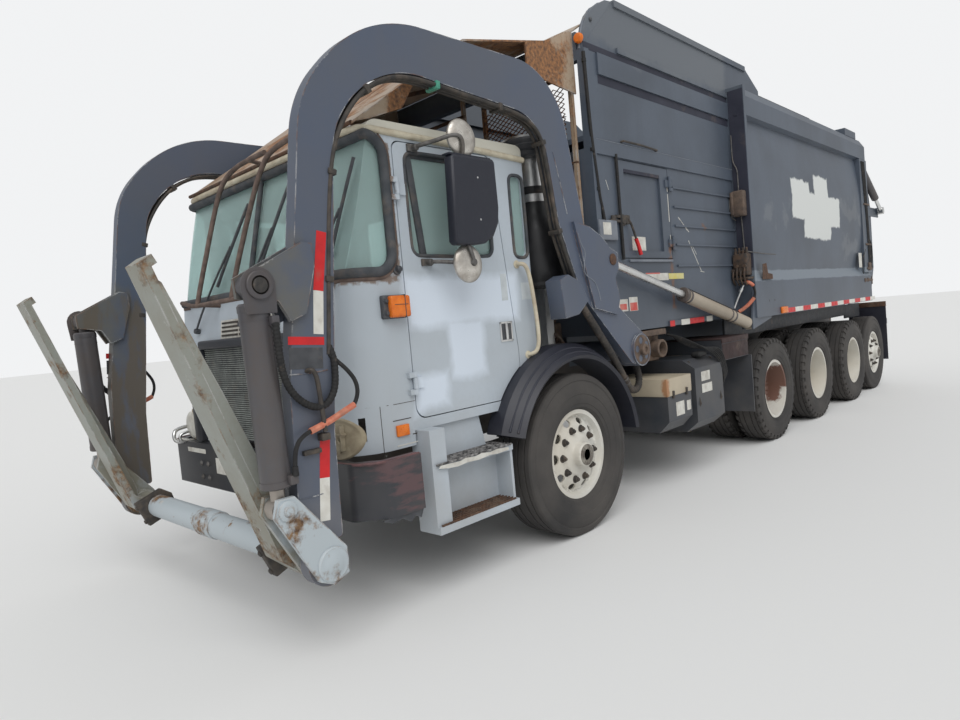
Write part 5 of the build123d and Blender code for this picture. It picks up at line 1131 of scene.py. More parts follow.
# Lamps, slots and the white scratch low on the cab's side
signal = box((1.046, -1.455, 1.54), (1.082, -1.3, 1.664), 0.01, 3)
signalLens = box((1.07, -1.425, 1.545), (1.112, -1.296, 1.659), 0.012, 3)
signalStrap = [box((1.07, -1.336, 1.541), (1.1145, -1.332, 1.663), 0.001, 1),
    box((1.108, -1.405, 1.61), (1.1145, -1.315, 1.613), 0.001, 1)]
signalEnd = turned([(0, 0), (0, 0.013), (0.008, 0.013), (0.008, 0.01), (0.014, 0.01), (0.014, 0)],
    at(1.08, -1.44, 1.57), (1, 0, 0), 12)
signalEndTop = copied(signalEnd, (0, 0, 0.064))
bothSides([signalEnd, signalEndTop, *signalStrap, signal], "turnSignalBase", "plateDark", 35)
bothSides(signalLens, "turnSignalLens", "amber", 35)
marker = box((1.048, -1.43, 0.918), (1.066, -1.348, 0.978), 0.005, 3)
bothSides(marker, "sideMarker", "amber", 35)
cabFace = 1.0495
slits = [sideLabel(cabFace, -1.444, -1.32, 1.002, 1.007, 0.002),
    sideLabel(cabFace, -1.318, -1.25, 0.912, 0.917, 0.002)]
seam = sideLabel(cabFace, -1.432, -1.284, 1.0895, 1.0925, 0.0017)
seamFront = pipe([cabSkin(cab, x, z, 0.0002) for x, z in ((1.049, 1.092), (1.03, 1.094), (1.0, 1.096), (0.95, 1.099),
            (0.9, 1.102), (0.82, 1.105))], 0.0018, 4, 6)
seamDown = pipe([cabSkin(cab, 1.04, z, 0.0002) for z in (1.093, 1.0, 0.9, 0.82)], 0.0018, 3, 6)
bothSides([seamFront, seamDown, *slits, seam], "cabSeams", "steelDark", 35)
scratch = sideLabel(cabFace, -1.43, -1.262, 0.866, 0.872, 0.0017)
bothSides(scratch, "cabScratch", "plateWhite", 35)
knob = turned([(0, 0), (0, 0.026), (0.01, 0.026), (0.014, 0.018), (0.034, 0.016), (0.04, 0.01), (0.04, 0)],
    at(1.049, -1.322, 1.795), (1, 0, 0.15), 18)
bothSides(knob, "cabKnob", "plateDark", 35)

# Door handle in its frame, blank labels and the grab rail behind the door
handleFrame = [box((1.049, -0.552, 1.352), (1.056, -0.54, 1.468), 0.002),
    box((1.049, -0.452, 1.346), (1.056, -0.44, 1.462), 0.002),
    box((1.049, -0.552, 1.345), (1.056, -0.44, 1.357), 0.002),
    box((1.049, -0.552, 1.457), (1.056, -0.44, 1.469), 0.002),
    box((1.05, -0.508, 1.355), (1.062, -0.486, 1.46), 0.004)]
bothSides(handleFrame, "doorHandle", "chrome", 35, doorBodies)
handlePan = sideLabel(cabFace, -0.545, -0.446, 1.352, 1.462, 0.002)
bothSides(handlePan, "doorHandlePan", "plateDark", 35, doorBodies)
doorLabel = sideLabel(1.0498, -0.508, -0.452, 1.6, 1.765, 0.0014, 0.0004)
bothSides(doorLabel, "doorLabel", "labelPale", 35, doorBodies)
pillarLabel = sideLabel(1.0498, -0.318, -0.212, 1.597, 1.706, 0.0014, 0.0004)
bothSides(pillarLabel, "pillarLabel", "labelPale", 35)
railPath = route(((1.05, -0.345, 1.822), (1.092, -0.344, 1.826), (1.105, -0.315, 1.805), (1.107, -0.29, 1.74),
        (1.107, -0.262, 1.54), (1.107, -0.248, 1.36), (1.104, -0.262, 1.275), (1.09, -0.3, 1.246),
        (1.05, -0.306, 1.243)))
railFeet = [turned([(0, 0), (0, 0.026), (0.005, 0.026), (0.007, 0.018), (0.007, 0)], at(1.049, y, z), (1, 0, 0), 18)
    for y, z in ((-0.345, 1.822), (-0.306, 1.243))]
bothSides([*railFeet, pipe(railPath, 0.0135, 8, 10)], "grabRail", "cream", 40)

# Mirrors: on each door a tall head cut round at its lower rear corner, two round mirrors and their bent brackets
headOutline = [(-1.055, 2.372), (-1.04, 2.39), (-0.73, 2.392), (-0.712, 2.378), (-0.708, 2.12), (-0.722, 2.03),
    (-0.77, 1.955), (-0.84, 1.915), (-0.93, 1.905), (-1.06, 1.905), (-1.075, 1.925)]
head = plate(sideLine(1.205, headOutline), (0.068, 0, 0), 0.016, 3)
back = plate([at(1.269, y * 0.94 - 0.055, 2.15 + (z - 2.15) * 0.93) for y, z in headOutline],
    (0.0045, 0, 0), 0.003, 1)
hood = box((1.2, -1.06, 2.386), (1.262, -0.735, 2.398), 0.005)
bothSides([hood, back, head], "mirrorHead", "plastic", 40, doorBodies)
heads = [turned([(0, 0), (0, 0.006), (0.002, 0.006), (0.003, 0.004), (0.003, 0)], at(1.2718, y, z), (1, 0, 0), 10)
    for y, z in ((-0.868, 2.275), (-0.872, 2.045))]
bothSides(heads, "mirrorScrews", "chrome", 40, doorBodies)
dish = [(-0.032, 0), (-0.032, 0.092), (-0.03, 0.1), (-0.02, 0.106), (-0.012, 0.106), (-0.006, 0.102), (0.004, 0.088),
    (0.014, 0.06), (0.021, 0.03), (0.023, 0.0)]
roundMirrors = [turned(dish, at(1.232, -0.913, 2.497), (1, 0, 0), 40),
    turned(dish, at(1.232, -0.947, 1.808), (1, 0, 0), 40)]
bothSides(roundMirrors, "roundMirrors", "mirrorShell", 40, doorBodies)
bracketPaths = [
    ((1.05, -1.14, 2.455), (1.1, -1.13, 2.458), (1.18, -1.06, 2.478), (1.235, -1.0, 2.5), (1.258, -0.962, 2.495),
        (1.262, -0.948, 2.46), (1.25, -0.945, 2.4), (1.235, -0.945, 2.37)),
    ((1.235, -0.96, 1.93), (1.25, -0.958, 1.89), (1.262, -0.952, 1.85), (1.262, -0.945, 1.815)),
    ((1.05, -1.11, 1.835), (1.1, -1.09, 1.836), (1.17, -1.02, 1.822), (1.24, -0.96, 1.808), (1.262, -0.945, 1.808)),
]
brackets = [hose(points, 0.0115, 8, 8) for points in bracketPaths]
for y, z in ((-1.14, 2.455), (-1.11, 1.835)):
    brackets.append(box((1.049, y - 0.035, z - 0.02), (1.066, y + 0.035, z + 0.02), 0.004))
    brackets.append(turned([(0, 0), (0, 0.018), (0.03, 0.018), (0.034, 0.014), (0.034, 0)],
            at(1.062, y + 0.004, z - 0.002), (1, 0.1, 0), 14))
ball = turned([(-0.026, 0), (-0.02, 0.018), (0, 0.026), (0.02, 0.018), (0.026, 0)],
    at(1.246, -0.94, 1.812), (1, 0, 0), 16)
leftBrackets = joined([*brackets, ball])
rightBrackets = mirrored(leftBrackets)
for side, piece in (("left", leftBrackets), ("right", rightBrackets)):
    placed(piece, f"mirrorBrackets_{side}", "rodSteel", f"door_{side}", 40)
    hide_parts(f"mirrors_{side}")

# Bumper: bolts, a blank plate, a pale patch, the worn top edge and the torn strip under it
bolts = []
for x, z in ((-0.672, 0.704), (-0.57, 0.706), (-0.672, 0.612), (-0.57, 0.612)):
    bolts.append(turned([(0, 0), (0, 0.018), (0.004, 0.018), (0.008, 0.012), (0.012, 0.006), (0.013, 0)],
            at(x, -1.749, z), (0, -1, 0), 18))
bothSides(bolts, "bumperBolts", "rodSteel", 40)
blank = box((-0.445, -1.7535, 0.655), (-0.135, -1.7495, 0.757), 0.0012, 1)
placed(blank, "blankPlate", "plateWhite", "truck", 30)
patch = [box((-0.87, -1.7515, 0.772), (-0.59, -1.7495, 0.802), 0.0006, 1),
    box((-1.1, -1.745, 0.838), (-0.9, -1.7, 0.8425), 0.001, 1)]
placed(patch, "bumperPatch", "plateWhite", "truck", 30)
edgeLine = [(1.182, -1.4, 0.838), (1.182, -1.6, 0.838), (1.15, -1.69, 0.838), (1.08, -1.742, 0.838),
    (0.9, -1.744, 0.838)]
edgeTop = hose(edgeLine, 0.0075, 6, 6)
bothSides(edgeTop, "bumperEdge", "bumperMaroon", 40)
torn = [(1.17, -1.66, 0.545), (1.172, -1.6, 0.52), (1.174, -1.54, 0.528), (1.176, -1.49, 0.5), (1.178, -1.46, 0.522),
    (1.178, -1.42, 0.505), (1.178, -1.4, 0.549), (1.172, -1.66, 0.55)]
bothSides(plate(route(torn), (0.003, 0, 0), 0.0005), "tornStrip", "plateDark", 30)
print("cab dressed")

# Steps: gratings of upright strips and cross teeth
treads = [{"name": "upper", "z": 0.735, "finish": "stepTread"}, {"name": "lower", "z": 0.405, "finish": "rustTread"}]
for row in treads:
    parts = []
    for n in range(7):
        x = 1.01 + 0.0255 * n
        parts.append(box((x - 0.003, -1.27, row["z"] - 0.001), (x + 0.003, -0.665, row["z"] + 0.011), 0.0008, 1))
    for n in range(22):
        y = -1.26 + 0.0275 * n
        parts.append(box((1.006, y - 0.0035, row["z"] - 0.001), (1.168, y + 0.0035, row["z"] + 0.008), 0.0008, 1))
    bothSides(parts, f"stepGrating_{row['name']}", row["finish"], 30)
chipped = [(-1.262, 0.722), (-1.25, 0.735), (-1.1, 0.73), (-1.06, 0.738), (-0.98, 0.731), (-0.93, 0.739),
    (-0.86, 0.73), (-0.8, 0.736), (-0.7, 0.728), (-0.7, 0.712), (-0.8, 0.708), (-0.86, 0.714), (-0.95, 0.706),
    (-1.05, 0.711), (-1.12, 0.704), (-1.2, 0.711)]
bothSides(plate(sideLine(1.1695, chipped), (0.0016, 0, 0), 0.0004), "stepEdge", "plateWhite", 30)
print("steps dressed")

# Hopper side: painted shadows in the recesses, front conduit, handle, latch, box lamp, blank labels, tape and a
# painted highlight on the sill under the door
hopperX = 1.077
# dark strips painted as the shadow under each overhanging bar: front, rear, low and high edge of each recess
recessShadows = []
for y0, y1, z0, z1 in ((0.56, 2.945, 3.362, 3.412), (0.72, 2.945, 3.142, 3.204)):
    recessShadows.append(box((hopperX - 0.001, y0, z0), (hopperX + 0.002, y1, z1), 0.0006, 1))
bothSides(recessShadows, "hopperRecessShadows", "paintedShade", 30)
# the shoulder's front face, in the gap behind the hopper, covered with a dark plate as painted shade, and a plug in
# it
shoulderFace = box((1.094, 2.9465, 1.76), (1.24, 2.9505, 3.47), 0.001, 1)
shoulderPlug = turned([(0, 0), (0, 0.018), (0.006, 0.018), (0.006, 0)], at(1.165, 2.9475, 3.24), (0, -1, 0), 16)
bothSides([shoulderPlug, shoulderFace], "shoulderFace", "paintedShade", 30)
topBolts = [turned([(0, 0), (0, 0.016), (0.006, 0.015), (0.012, 0.008), (0.012, 0)], at(hopperX + 0.001, y, z),
        (1, 0, 0), 12) for y, z in ((0.68, 3.59), (1.02, 3.79), (1.64, 3.79), (2.266, 3.79), (2.828, 3.79))]
bothSides(topBolts, "hopperTopBolts", "plateDark", 35)
cornerPlate = plate(sideLine(1.03, ((0.548, 3.355), (0.56, 3.425), (0.6, 3.535), (0.655, 3.62), (0.74, 3.7),
            (0.9, 3.788), (1.01, 3.803), (1.01, 3.355))), (0.0455, 0, 0), 0.003, 2)
bothSides(cornerPlate, "hopperCorner", "body", 35)
# a lighter pipe along the hopper's top edge: painted highlight where the edge catches the light
sheetEdge = pipe(sideLine(hopperX - 0.025, ((0.548, 3.36), (0.56, 3.428), (0.6, 3.539), (0.655, 3.625), (0.74, 3.7),
            (0.9, 3.785), (1.0, 3.801), (3.43, 3.801), (3.78, 3.63))), 0.009, 1, 6, 2)
bothSides(sheetEdge, "hopperEdge", "bodyHighlight", 40)
# the top of the bar and the door's sill in a lighter blue: painted highlight where they catch the light
ledgeHighlight = box((hopperX + 0.001, 0.61, 2.7235), (hopperX + 0.017, 2.945, 2.7275), 0.001, 1)
doorSill = box((hopperX, 0.96, 1.832), (1.094, 1.64, 1.852), 0.005)
bothSides([doorSill, ledgeHighlight], "hopperHighlightEdges", "bodyHighlight", 35)
conduitPath = route(((1.086, 0.545, 3.33), (1.09, 0.548, 3.0), (1.092, 0.556, 2.7), (1.092, 0.59, 2.42),
        (1.092, 0.6, 2.3), (1.092, 0.625, 2.22), (1.092, 0.64, 2.135)))
conduit = [pipe(conduitPath, 0.013, 8, 10)]
for share in (0, 2, 3):
    conduit.append(turned([(-0.012, 0.012), (-0.012, 0.0165), (0.012, 0.0165), (0.012, 0.012)],
            conduitPath[share] + Vector((0, 0, -0.06)), (0, 0.02, -1), 14))
latchPost = hose(((1.092, 0.862, 2.64), (1.093, 0.862, 2.3), (1.093, 0.862, 1.85)), 0.012, 2, 8, 2)
bothSides([latchPost, *conduit], "hopperConduit", "hoseBlack", 40)
handle = hose(((1.077, 0.97, 2.748), (1.098, 0.972, 2.75), (1.105, 0.985, 2.752), (1.105, 1.47, 2.742),
        (1.098, 1.482, 2.738), (1.077, 1.484, 2.736)), 0.0085, 1, 8, 2)
bothSides(handle, "hopperHandle", "steelDark", 40)

hub = turned([(0, 0), (0, 0.045), (0.01, 0.045), (0.014, 0.034), (0.022, 0.03), (0.024, 0.0)],
    at(1.0775, 0.905, 2.15), (1, 0, 0), 12)
latch = [hub, box((1.079, 0.715, 2.128), (1.098, 0.9, 2.15), 0.006),
    box((1.079, 0.8, 2.162), (1.1, 0.96, 2.186), 0.006), box((1.079, 0.745, 2.105), (1.096, 0.8, 2.18), 0.006),
    box((1.079, 0.93, 2.12), (1.102, 0.985, 2.19), 0.008),
    hose(((1.1, 0.955, 2.16), (1.104, 0.99, 2.12), (1.106, 1.06, 1.975)), 0.009, 4, 8, 2),
    hose(((1.09, 0.88, 2.12), (1.092, 0.872, 2.0), (1.088, 0.882, 1.9)), 0.007, 4, 8)]
placed(latch, "doorLatch", "steelDark", "side_door", 35)
grip = hose(((1.105, 1.04, 2.01), (1.105, 1.068, 1.96), (1.106, 1.096, 1.888)), 0.0155, 4, 10, 2)
placed(grip, "latchGrip", "tapeRed", "side_door", 40)
doorPaper = sideLabel(1.0565, 1.06, 1.265, 1.926, 2.035, 0.0017)
placed(doorPaper, "doorBlankLabel", "plateWhite", "side_door", 30)
doorLip = box((1.057, 0.978, 2.52), (1.078, 1.52, 2.548), 0.002, 1)
placed(doorLip, "doorShade", "paintedShade", "side_door", 30)
doorScuff = [box((1.0765, 1.64, z0), (1.079, 1.65, z1), 0.0008, 1)
    for z0, z1 in ((2.17, 2.4), (2.42, 2.47), (2.02, 2.06))]
placed(doorScuff, "doorScuffs", "plateWhite", "side_door", 30)
# box lamp in the lighter blue of the body's painted highlights
boxLamp = box((hopperX, 0.555, 1.99), (1.106, 0.79, 2.14), 0.01, 3)
bothSides(boxLamp, "hopperBox", "bodyHighlight", 35)
boxLabel = sideLabel(1.1055, 0.595, 0.7, 2.03, 2.12, 0.0017)
bothSides(boxLabel, "hopperBoxLabel", "plateWhite", 30)
whites = [sideLabel(hopperX, 1.19, 1.56, 1.682, 1.742), sideLabel(hopperX, 0.76, 0.895, 1.458, 1.55),
    sideLabel(hopperX, 0.915, 1.04, 1.455, 1.562)]
bothSides(whites, "hopperWhiteLabels", "plateWhite", 30)
yellow = sideLabel(hopperX, 1.566, 1.83, 1.69, 1.738)
bothSides(yellow, "hopperYellowLabel", "labelYellow", 30)
reds = [sideLabel(1.0782, 0.78, 0.875, 1.47, 1.515, 0.0008, 0.0003),
    sideLabel(1.0782, 0.925, 1.03, 1.458, 1.52, 0.0008, 0.0003),
    sideLabel(1.0782, 1.195, 1.42, 1.736, 1.746, 0.0008, 0.0003)]
bothSides(reds, "hopperRedLabels", "labelRed", 30)
for count, (kind, y0, y1) in enumerate((("tapeRed", 1.505, 1.585), ("tapeWhite", 1.7, 1.855),
        ("tapeRed", 1.86, 2.13), ("tapeWhite", 2.18, 2.3))):
    bothSides(box((1.0915, y0, 1.294), (1.093, y1, 1.342), 0.0005, 1), f"hopperTape{count}", kind, 30)
# start, end and width of each scratch
scratches = []
for (y0, z0), (y1, z1), wide in (((1.806, 2.215), (1.985, 2.095), 0.01), ((1.84, 2.19), (1.95, 2.11), 0.006),
    ((1.964, 2.02), (2.174, 1.752), 0.009), ((2.02, 1.99), (2.1, 1.9), 0.006), ((2.15, 1.75), (2.23, 1.742), 0.005),
    ((0.72, 2.44), (0.75, 2.37), 0.005)):
    scratches.append(strip((y0, z0), (y1, z1), wide, hopperX, 0.0008))
placed(scratches, "hopperScratches", "plateWhite", "truck", 30)

# Front shoulder of the body: grey box with its cable, the greasy valves, their rod and the sleeved hoses
lampBody = box((1.1, 2.862, 2.262), (1.215, 2.946, 2.505), 0.012, 3)
lampHead = box((1.092, 2.846, 2.275), (1.12, 2.95, 2.495), 0.008, 2)
bothSides([lampHead, lampBody], "shoulderBox", "brownSteel", 35)
cable = hose(((1.106, 2.94, 3.05), (1.106, 2.935, 2.86), (1.115, 2.93, 2.78), (1.15, 2.925, 2.72),
        (1.155, 2.92, 2.64), (1.155, 2.915, 2.5)), 0.006, 6, 6)
cableLow = hose(((1.16, 2.925, 2.262), (1.163, 2.938, 2.15), (1.165, 2.938, 1.94)), 0.006, 3, 6)
loopCable = hose(((1.1, 2.9, 2.5), (1.06, 2.93, 2.5), (1.082, 2.86, 2.44), (1.084, 2.85, 2.33), (1.086, 2.88, 2.25),
        (1.11, 2.92, 2.23)), 0.004, 6, 6)
bothSides([cableLow, loopCable, cable], "shoulderCables", "rodSteel", 40)
valves = [box((1.09, 2.82, 1.69), (1.225, 2.946, 1.9), 0.012, 2)]
for n in range(4):
    x = 1.105 + 0.036 * n
    valves.append(turned([(0, 0), (0, 0.015), (0.03, 0.015), (0.034, 0.011), (0.06, 0.011), (0.064, 0.005),
                (0.064, 0)], at(x, 2.87, 1.895), (0, 0, 1), 12))
    valves.append(turned([(0, 0), (0, 0.013), (0.022, 0.013), (0.022, 0.018), (0.036, 0.018), (0.036, 0)],
            at(x, 2.822, 1.74 + 0.04 * (n % 2)), (0, -1, 0), 12))
    valves.append(hose(((x, 2.8, 1.745 + 0.04 * (n % 2)), (x, 2.775, 1.7), (x - 0.006, 2.79, 1.64),
                (x - 0.01, 2.85, 1.6)), 0.009, 5, 8))
valves.append(box((1.085, 2.79, 1.652), (1.24, 2.946, 1.672), 0.004))
bothSides(valves, "shoulderValves", "valve", 35)
thinRod = hose(((1.15, 2.88, 1.93), (1.25, 2.94, 1.905), (1.252, 3.2, 1.892), (1.252, 3.5, 1.888)), 0.0055, 3, 6, 2)
bothSides(thinRod, "valveRod", "rodSteel", 40)
rustFlap = plate(sideLine(1.247, ((3.13, 1.64), (3.39, 1.64), (3.385, 1.69), (3.27, 1.7), (3.24, 1.8),
            (3.15, 1.79))), (0.006, 0, 0), 0.001)
bothSides(rustFlap, "rustFlap", "rustTread", 30)
hosePath = ((1.15, 2.88, 1.64), (1.16, 2.86, 1.64), (1.185, 2.85, 1.636), (1.235, 2.855, 1.618), (1.25, 2.88, 1.585),
    (1.256, 2.9, 1.54), (1.255, 2.905, 1.5), (1.249, 2.89, 1.468), (1.215, 2.87, 1.42), (1.16, 2.85, 1.37),
    (1.12, 2.82, 1.345))
bothSides(hose(hosePath, 0.0115, 6, 8), "cylinderHose", "hoseBlack", 40)
sleeves = [hose(hosePath[2:5], 0.017, 6, 10), hose(hosePath[7:11], 0.0175, 6, 10)]
bothSides(sleeves, "cylinderHoseSleeves", "hoseRed", 40)
fitting = hose(((1.165, 2.862, 1.6), (1.13, 2.85, 1.52), (1.085, 2.83, 1.41), (1.08, 2.82, 1.38)), 0.01, 4, 8)
collar = turned([(0, 0), (0, 0.017), (0.04, 0.017), (0.04, 0)], at(1.152, 2.856, 1.57), (-0.5, -0.2, -1), 6)
bothSides([collar, fitting], "hoseFitting", "chrome", 40)

# Sill: amber lamp, tape of red and white, two holes, and the lock shaft at the rear
bothSides(box((1.243, 3.56, 1.276), (1.268, 3.73, 1.346), 0.022, 4), "sillLamp", "amber", 40)
tapeStart, tapeStep = 3.745, 0.2465
for kind, first in (("tapeRed", 0), ("tapeWhite", 1)):
    parts = [box((1.2445, tapeStart + tapeStep * n, 1.276), (1.2462, tapeStart + tapeStep * (n + 1), 1.326), 0.0005,
            1) for n in range(first, 14, 2)]
    bothSides(parts, f"sillTape{kind}", kind, 30)
dots = [turned([(0, 0), (0, 0.011), (0.0012, 0.011), (0.0012, 0)], at(1.2445, y, 1.425), (1, 0, 0), 12)
    for y in (3.278, 3.424)]
bothSides(dots, "sillHoles", "plateDark", 30)
lock = [turned([(0, 0), (0, 0.03), (0.34, 0.03), (0.36, 0.024), (0.36, 0)], at(1.222, 6.78, 1.56), (0, 1, 0), 20),
    box((1.17, 6.86, 1.535), (1.255, 6.9, 1.59), 0.005), box((1.17, 7.08, 1.5), (1.25, 7.11, 1.61), 0.005),
    turned([(0, 0), (0, 0.046), (0.06, 0.046), (0.07, 0.036), (0.07, 0)], at(1.21, 6.72, 1.56), (0, 1, 0), 20)]
bothSides(lock, "tailLock", "brownSteel", 35)

# Rear post: hoses, their clamps and a pale patch; lamps and tape at the back, and the mudflaps' top bars
postHoses = []
# how far each hose lies to the rear, and its radius
for shift, wide in ((0.0, 0.013), (0.045, 0.012), (0.085, 0.014), (0.125, 0.01)):
    postHoses.append(hose(((1.258, 6.8 + shift, 3.18), (1.26, 6.84 + shift, 2.9), (1.26, 6.9 + shift * 0.6, 2.55),
                (1.26, 6.93 + shift * 0.5, 2.2), (1.26, 6.935 + shift * 0.6, 1.95), (1.26, 6.94 + shift, 1.72)),
            wide, 6, 8))
for shift in (0.0, 0.06):
    postHoses.append(hose(((1.262, 6.96, 2.13), (1.262, 7.01 + shift, 2.1), (1.262, 7.045 + shift, 1.95),
                (1.262, 7.02 + shift, 1.8), (1.262, 6.96, 1.7)), 0.01, 6, 8))
postHoses.append(hose(((1.255, 6.8, 1.98), (1.255, 6.7, 1.9), (1.253, 6.64, 1.78), (1.25, 6.66, 1.65)), 0.006, 5, 6))
bothSides(postHoses, "postHoses", "hoseBlack", 40)
clamps = [box((1.255, 6.82, z - 0.012), (1.272, 7.06, z + 0.012), 0.003) for z in (2.6, 2.05, 1.72)]
clamps.append(box((1.252, 6.88, 1.69), (1.274, 7.0, 1.8), 0.008))
bothSides(clamps, "postClamps", "brownSteel", 35)
bothSides(sideLabel(1.2442, 6.5, 6.64, 1.735, 1.93, 0.002), "postPatch", "plateWhite", 30)
tailLamps = []
for x in (0.78, 0.9):
    tailLamps.append(turned([(0, 0), (0, 0.052), (0.012, 0.052), (0.022, 0.044), (0.026, 0.025), (0.027, 0)],
            at(x, 7.798, 1.42), (0, 1, 0), 28))
tailLamps.append(box((-0.12, 7.796, 3.3), (0.12, 7.812, 3.345), 0.006))
leftLamps = joined(tailLamps[:2])
bothSides(leftLamps, "tailLamps", "redLens", 40, tailgateBodies)
placed(tailLamps[2], "highLamp", "redLens", "tailgate", 40)
backLamps = box((0.64, 7.796, 1.38), (0.712, 7.815, 1.46), 0.008)
bothSides(backLamps, "reverseLamps", "plateWhite", 40, tailgateBodies)
for kind, first in (("tapeRed", 0), ("tapeWhite", 1)):
    parts = [box((-0.98 + 0.245 * n, 7.7995, 1.245), (-0.98 + 0.245 * (n + 1), 7.801, 1.295), 0.0005, 1)
        for n in range(first, 8, 2)]
    placed(parts, f"tailTape{kind}", kind, "tailgate", 30)
flapBar = box((0.7, 7.895, 1.15), (1.212, 7.93, 1.225), 0.005)
bothSides(flapBar, "mudflapBars", "rustTread", 30)
print("body dressed")

# Canopy: bent edges, straps underneath, and the rusty expanded mesh behind the cab with the hose over it
def meshSheet(x0, x1, z0, z1, y, cell, thick):
    # one diamond modelled, copied across a row, and the row copied up the sheet
    half, tall = cell / 2, cell * 0.3
    strands = []
    for a, b in (((0, 0), (half, tall)), ((half, tall), (cell, 0)), ((0, 0), (half, -tall)),
        ((half, -tall), (cell, 0))):
        strands.append(plate([at(x0 + a[0], y, z0 + a[1]), at(x0 + b[0], y, z0 + b[1]),
                    at(x0 + b[0], y, z0 + b[1] + thick), at(x0 + a[0], y, z0 + a[1] + thick)], (0, thick, 0), 0))
    unit = joined(strands)
    for count, step in ((int((x1 - x0) / cell), (cell, 0, 0)), (int((z1 - z0) / (2 * tall)), (0, 0, 2 * tall))):
        repeat = unit.modifiers.new("repeat", "ARRAY")
        repeat.use_relative_offset = False
        repeat.use_constant_offset = True
        repeat.constant_offset_displace = step
        repeat.count = count
        choose(unit)
        bpy.ops.object.modifier_apply(modifier=repeat.name)
    return unit


screen = meshSheet(0.13, 0.965, 1.96, 3.18, 0.512, 0.06, 0.006)
bothSides(screen, "screenMesh", "rustMesh", 30)
borders = [box((0.1, 0.5, 1.94), (0.99, 0.524, 1.965), 0.003), box((0.1, 0.5, 3.18), (0.99, 0.524, 3.205), 0.003),
    box((0.1, 0.5, 2.56), (0.99, 0.524, 2.578), 0.003)]
bothSides(borders, "screenBorders", "rustTread", 30)
hoop = hose(((0.64, 0.48, 2.9), (0.62, 0.47, 3.02), (0.65, 0.465, 3.09), (0.73, 0.465, 3.08), (0.76, 0.47, 2.98),
        (0.74, 0.475, 2.88), (0.69, 0.48, 2.83)), 0.012, 8, 8)
placed(hoop, "screenHose", "hoseBlack", "truck", 40)
hoodStrap = [pipe(sideLine(x, ((-1.46, 2.552), (-1.04, 2.852), (-0.6, 3.164), (0.2, 3.342))), 0.016, 1, 6, 2)
    for x in (-0.5, 0.0, 0.5)]
hoodStrap += [hose(((-0.96, y, z), (0.96, y, z)), 0.016, 1, 6, 2)
    for y, z in ((-1.44, 2.566), (-0.95, 2.916), (-0.35, 3.205), (0.2, 3.334))]
placed(hoodStrap, "hoodRibs", "rustTread", "truck", 40)
hoodStays = [hose(((0.93, 0.47, 2.9), (0.93, -0.56, 3.165)), 0.018, 1, 8, 2),
    hose(((0.6, 0.5, 2.64), (0.6, -0.75, 3.04)), 0.014, 1, 8, 2)]
bothSides(hoodStays, "hoodStays", "brownSteel", 40)
frontRoll = pipe([at(x, -1.4805, 2.56) for x in (-0.995, -0.4, 0.4, 0.995)], 0.012, 2, 8, 2)
placed(frontRoll, "hoodFrontRoll", "rustTread", "truck", 40)
lampAmber = turned([(0, 0), (0, 0.036), (0.018, 0.036), (0.03, 0.028), (0.034, 0.0)],
    at(1.06, 0.546, 3.43), (0, -1, 0), 24)
bothSides(lampAmber, "hopperLamps", "amber", 40)

# Air intake: its cap, bands, the smooth elbow at its foot, and the pumps and silencer below
intake = at(0.85, 0.13, 0)
intakeCap = turned([(2.56, 0.102), (2.566, 0.2), (2.58, 0.204), (2.6, 0.196), (2.61, 0.206), (2.64, 0.206),
        (2.65, 0.196), (2.672, 0.2), (2.69, 0.192), (2.706, 0.165), (2.716, 0.12), (2.72, 0.0), (2.7, 0.0),
        (2.7, 0.102)], intake, (0, 0, 1), 48)
placed(intakeCap, "intakeCap", "plateDark", "truck", 40)
bands = [turned([(z - 0.018, 0.098), (z - 0.018, 0.106), (z + 0.018, 0.106), (z + 0.018, 0.098)], intake, (0, 0, 1),
        40) for z in (2.555, 2.3)]
placed(bands, "intakeBands", "intake", "truck", 40)
hoseBand = turned([(2.325, 0.098), (2.325, 0.1045), (2.375, 0.1045), (2.375, 0.098)], intake, (0, 0, 1), 40)
elbow = turned([(1.668, 0.1), (1.668, 0.168), (1.676, 0.176), (1.8, 0.182), (1.96, 0.18), (2.04, 0.172),
        (2.11, 0.152), (2.17, 0.126), (2.215, 0.11), (2.27, 0.106), (2.27, 0.1), (2.0, 0.1)], intake, (0, 0, 1), 44)
elbowBand = turned([(1.69, 0.17), (1.69, 0.183), (1.715, 0.184), (1.715, 0.17)], intake, (0, 0, 1), 44)
placed([elbowBand, elbow, hoseBand], "intakeElbow", "elbowBlack", "truck", 50)
silencer = turned([(0, 0), (0, 0.1), (0.01, 0.106), (0.36, 0.106), (0.37, 0.1), (0.37, 0)],
    at(0.56, 0.23, 1.24), (0, 0, 1), 32)
pumpParts = [silencer, box((0.7, 0.13, 1.18), (0.86, 0.33, 1.42), 0.015),
    box((0.74, 0.16, 1.42), (0.84, 0.3, 1.56), 0.012)]
for n in range(4):
    pumpParts.append(turned([(0, 0), (0, 0.02), (0.04, 0.02), (0.04, 0)],
            at(0.862, 0.17 + 0.04 * n, 1.35 - 0.05 * n), (1, 0, 0), 10))
    pumpParts.append(hose(((0.9, 0.17 + 0.04 * n, 1.35 - 0.05 * n), (0.95, 0.18 + 0.03 * n, 1.33 - 0.05 * n),
                (0.96, 0.24, 1.2), (0.9, 0.33, 1.16)), 0.01, 5, 8))
pumpParts.append(box((0.52, 0.09, 1.14), (0.98, 0.34, 1.19), 0.006))
placed(pumpParts, "pumps", "valve", "truck", 35)
yellowFit = turned([(0, 0), (0, 0.02), (0.055, 0.02), (0.055, 0.012), (0.075, 0.012), (0.075, 0)],
    at(0.9, 0.18, 1.56), (0, 0, 1), 10)
placed(yellowFit, "pumpFitting", "labelYellow", "truck", 35)

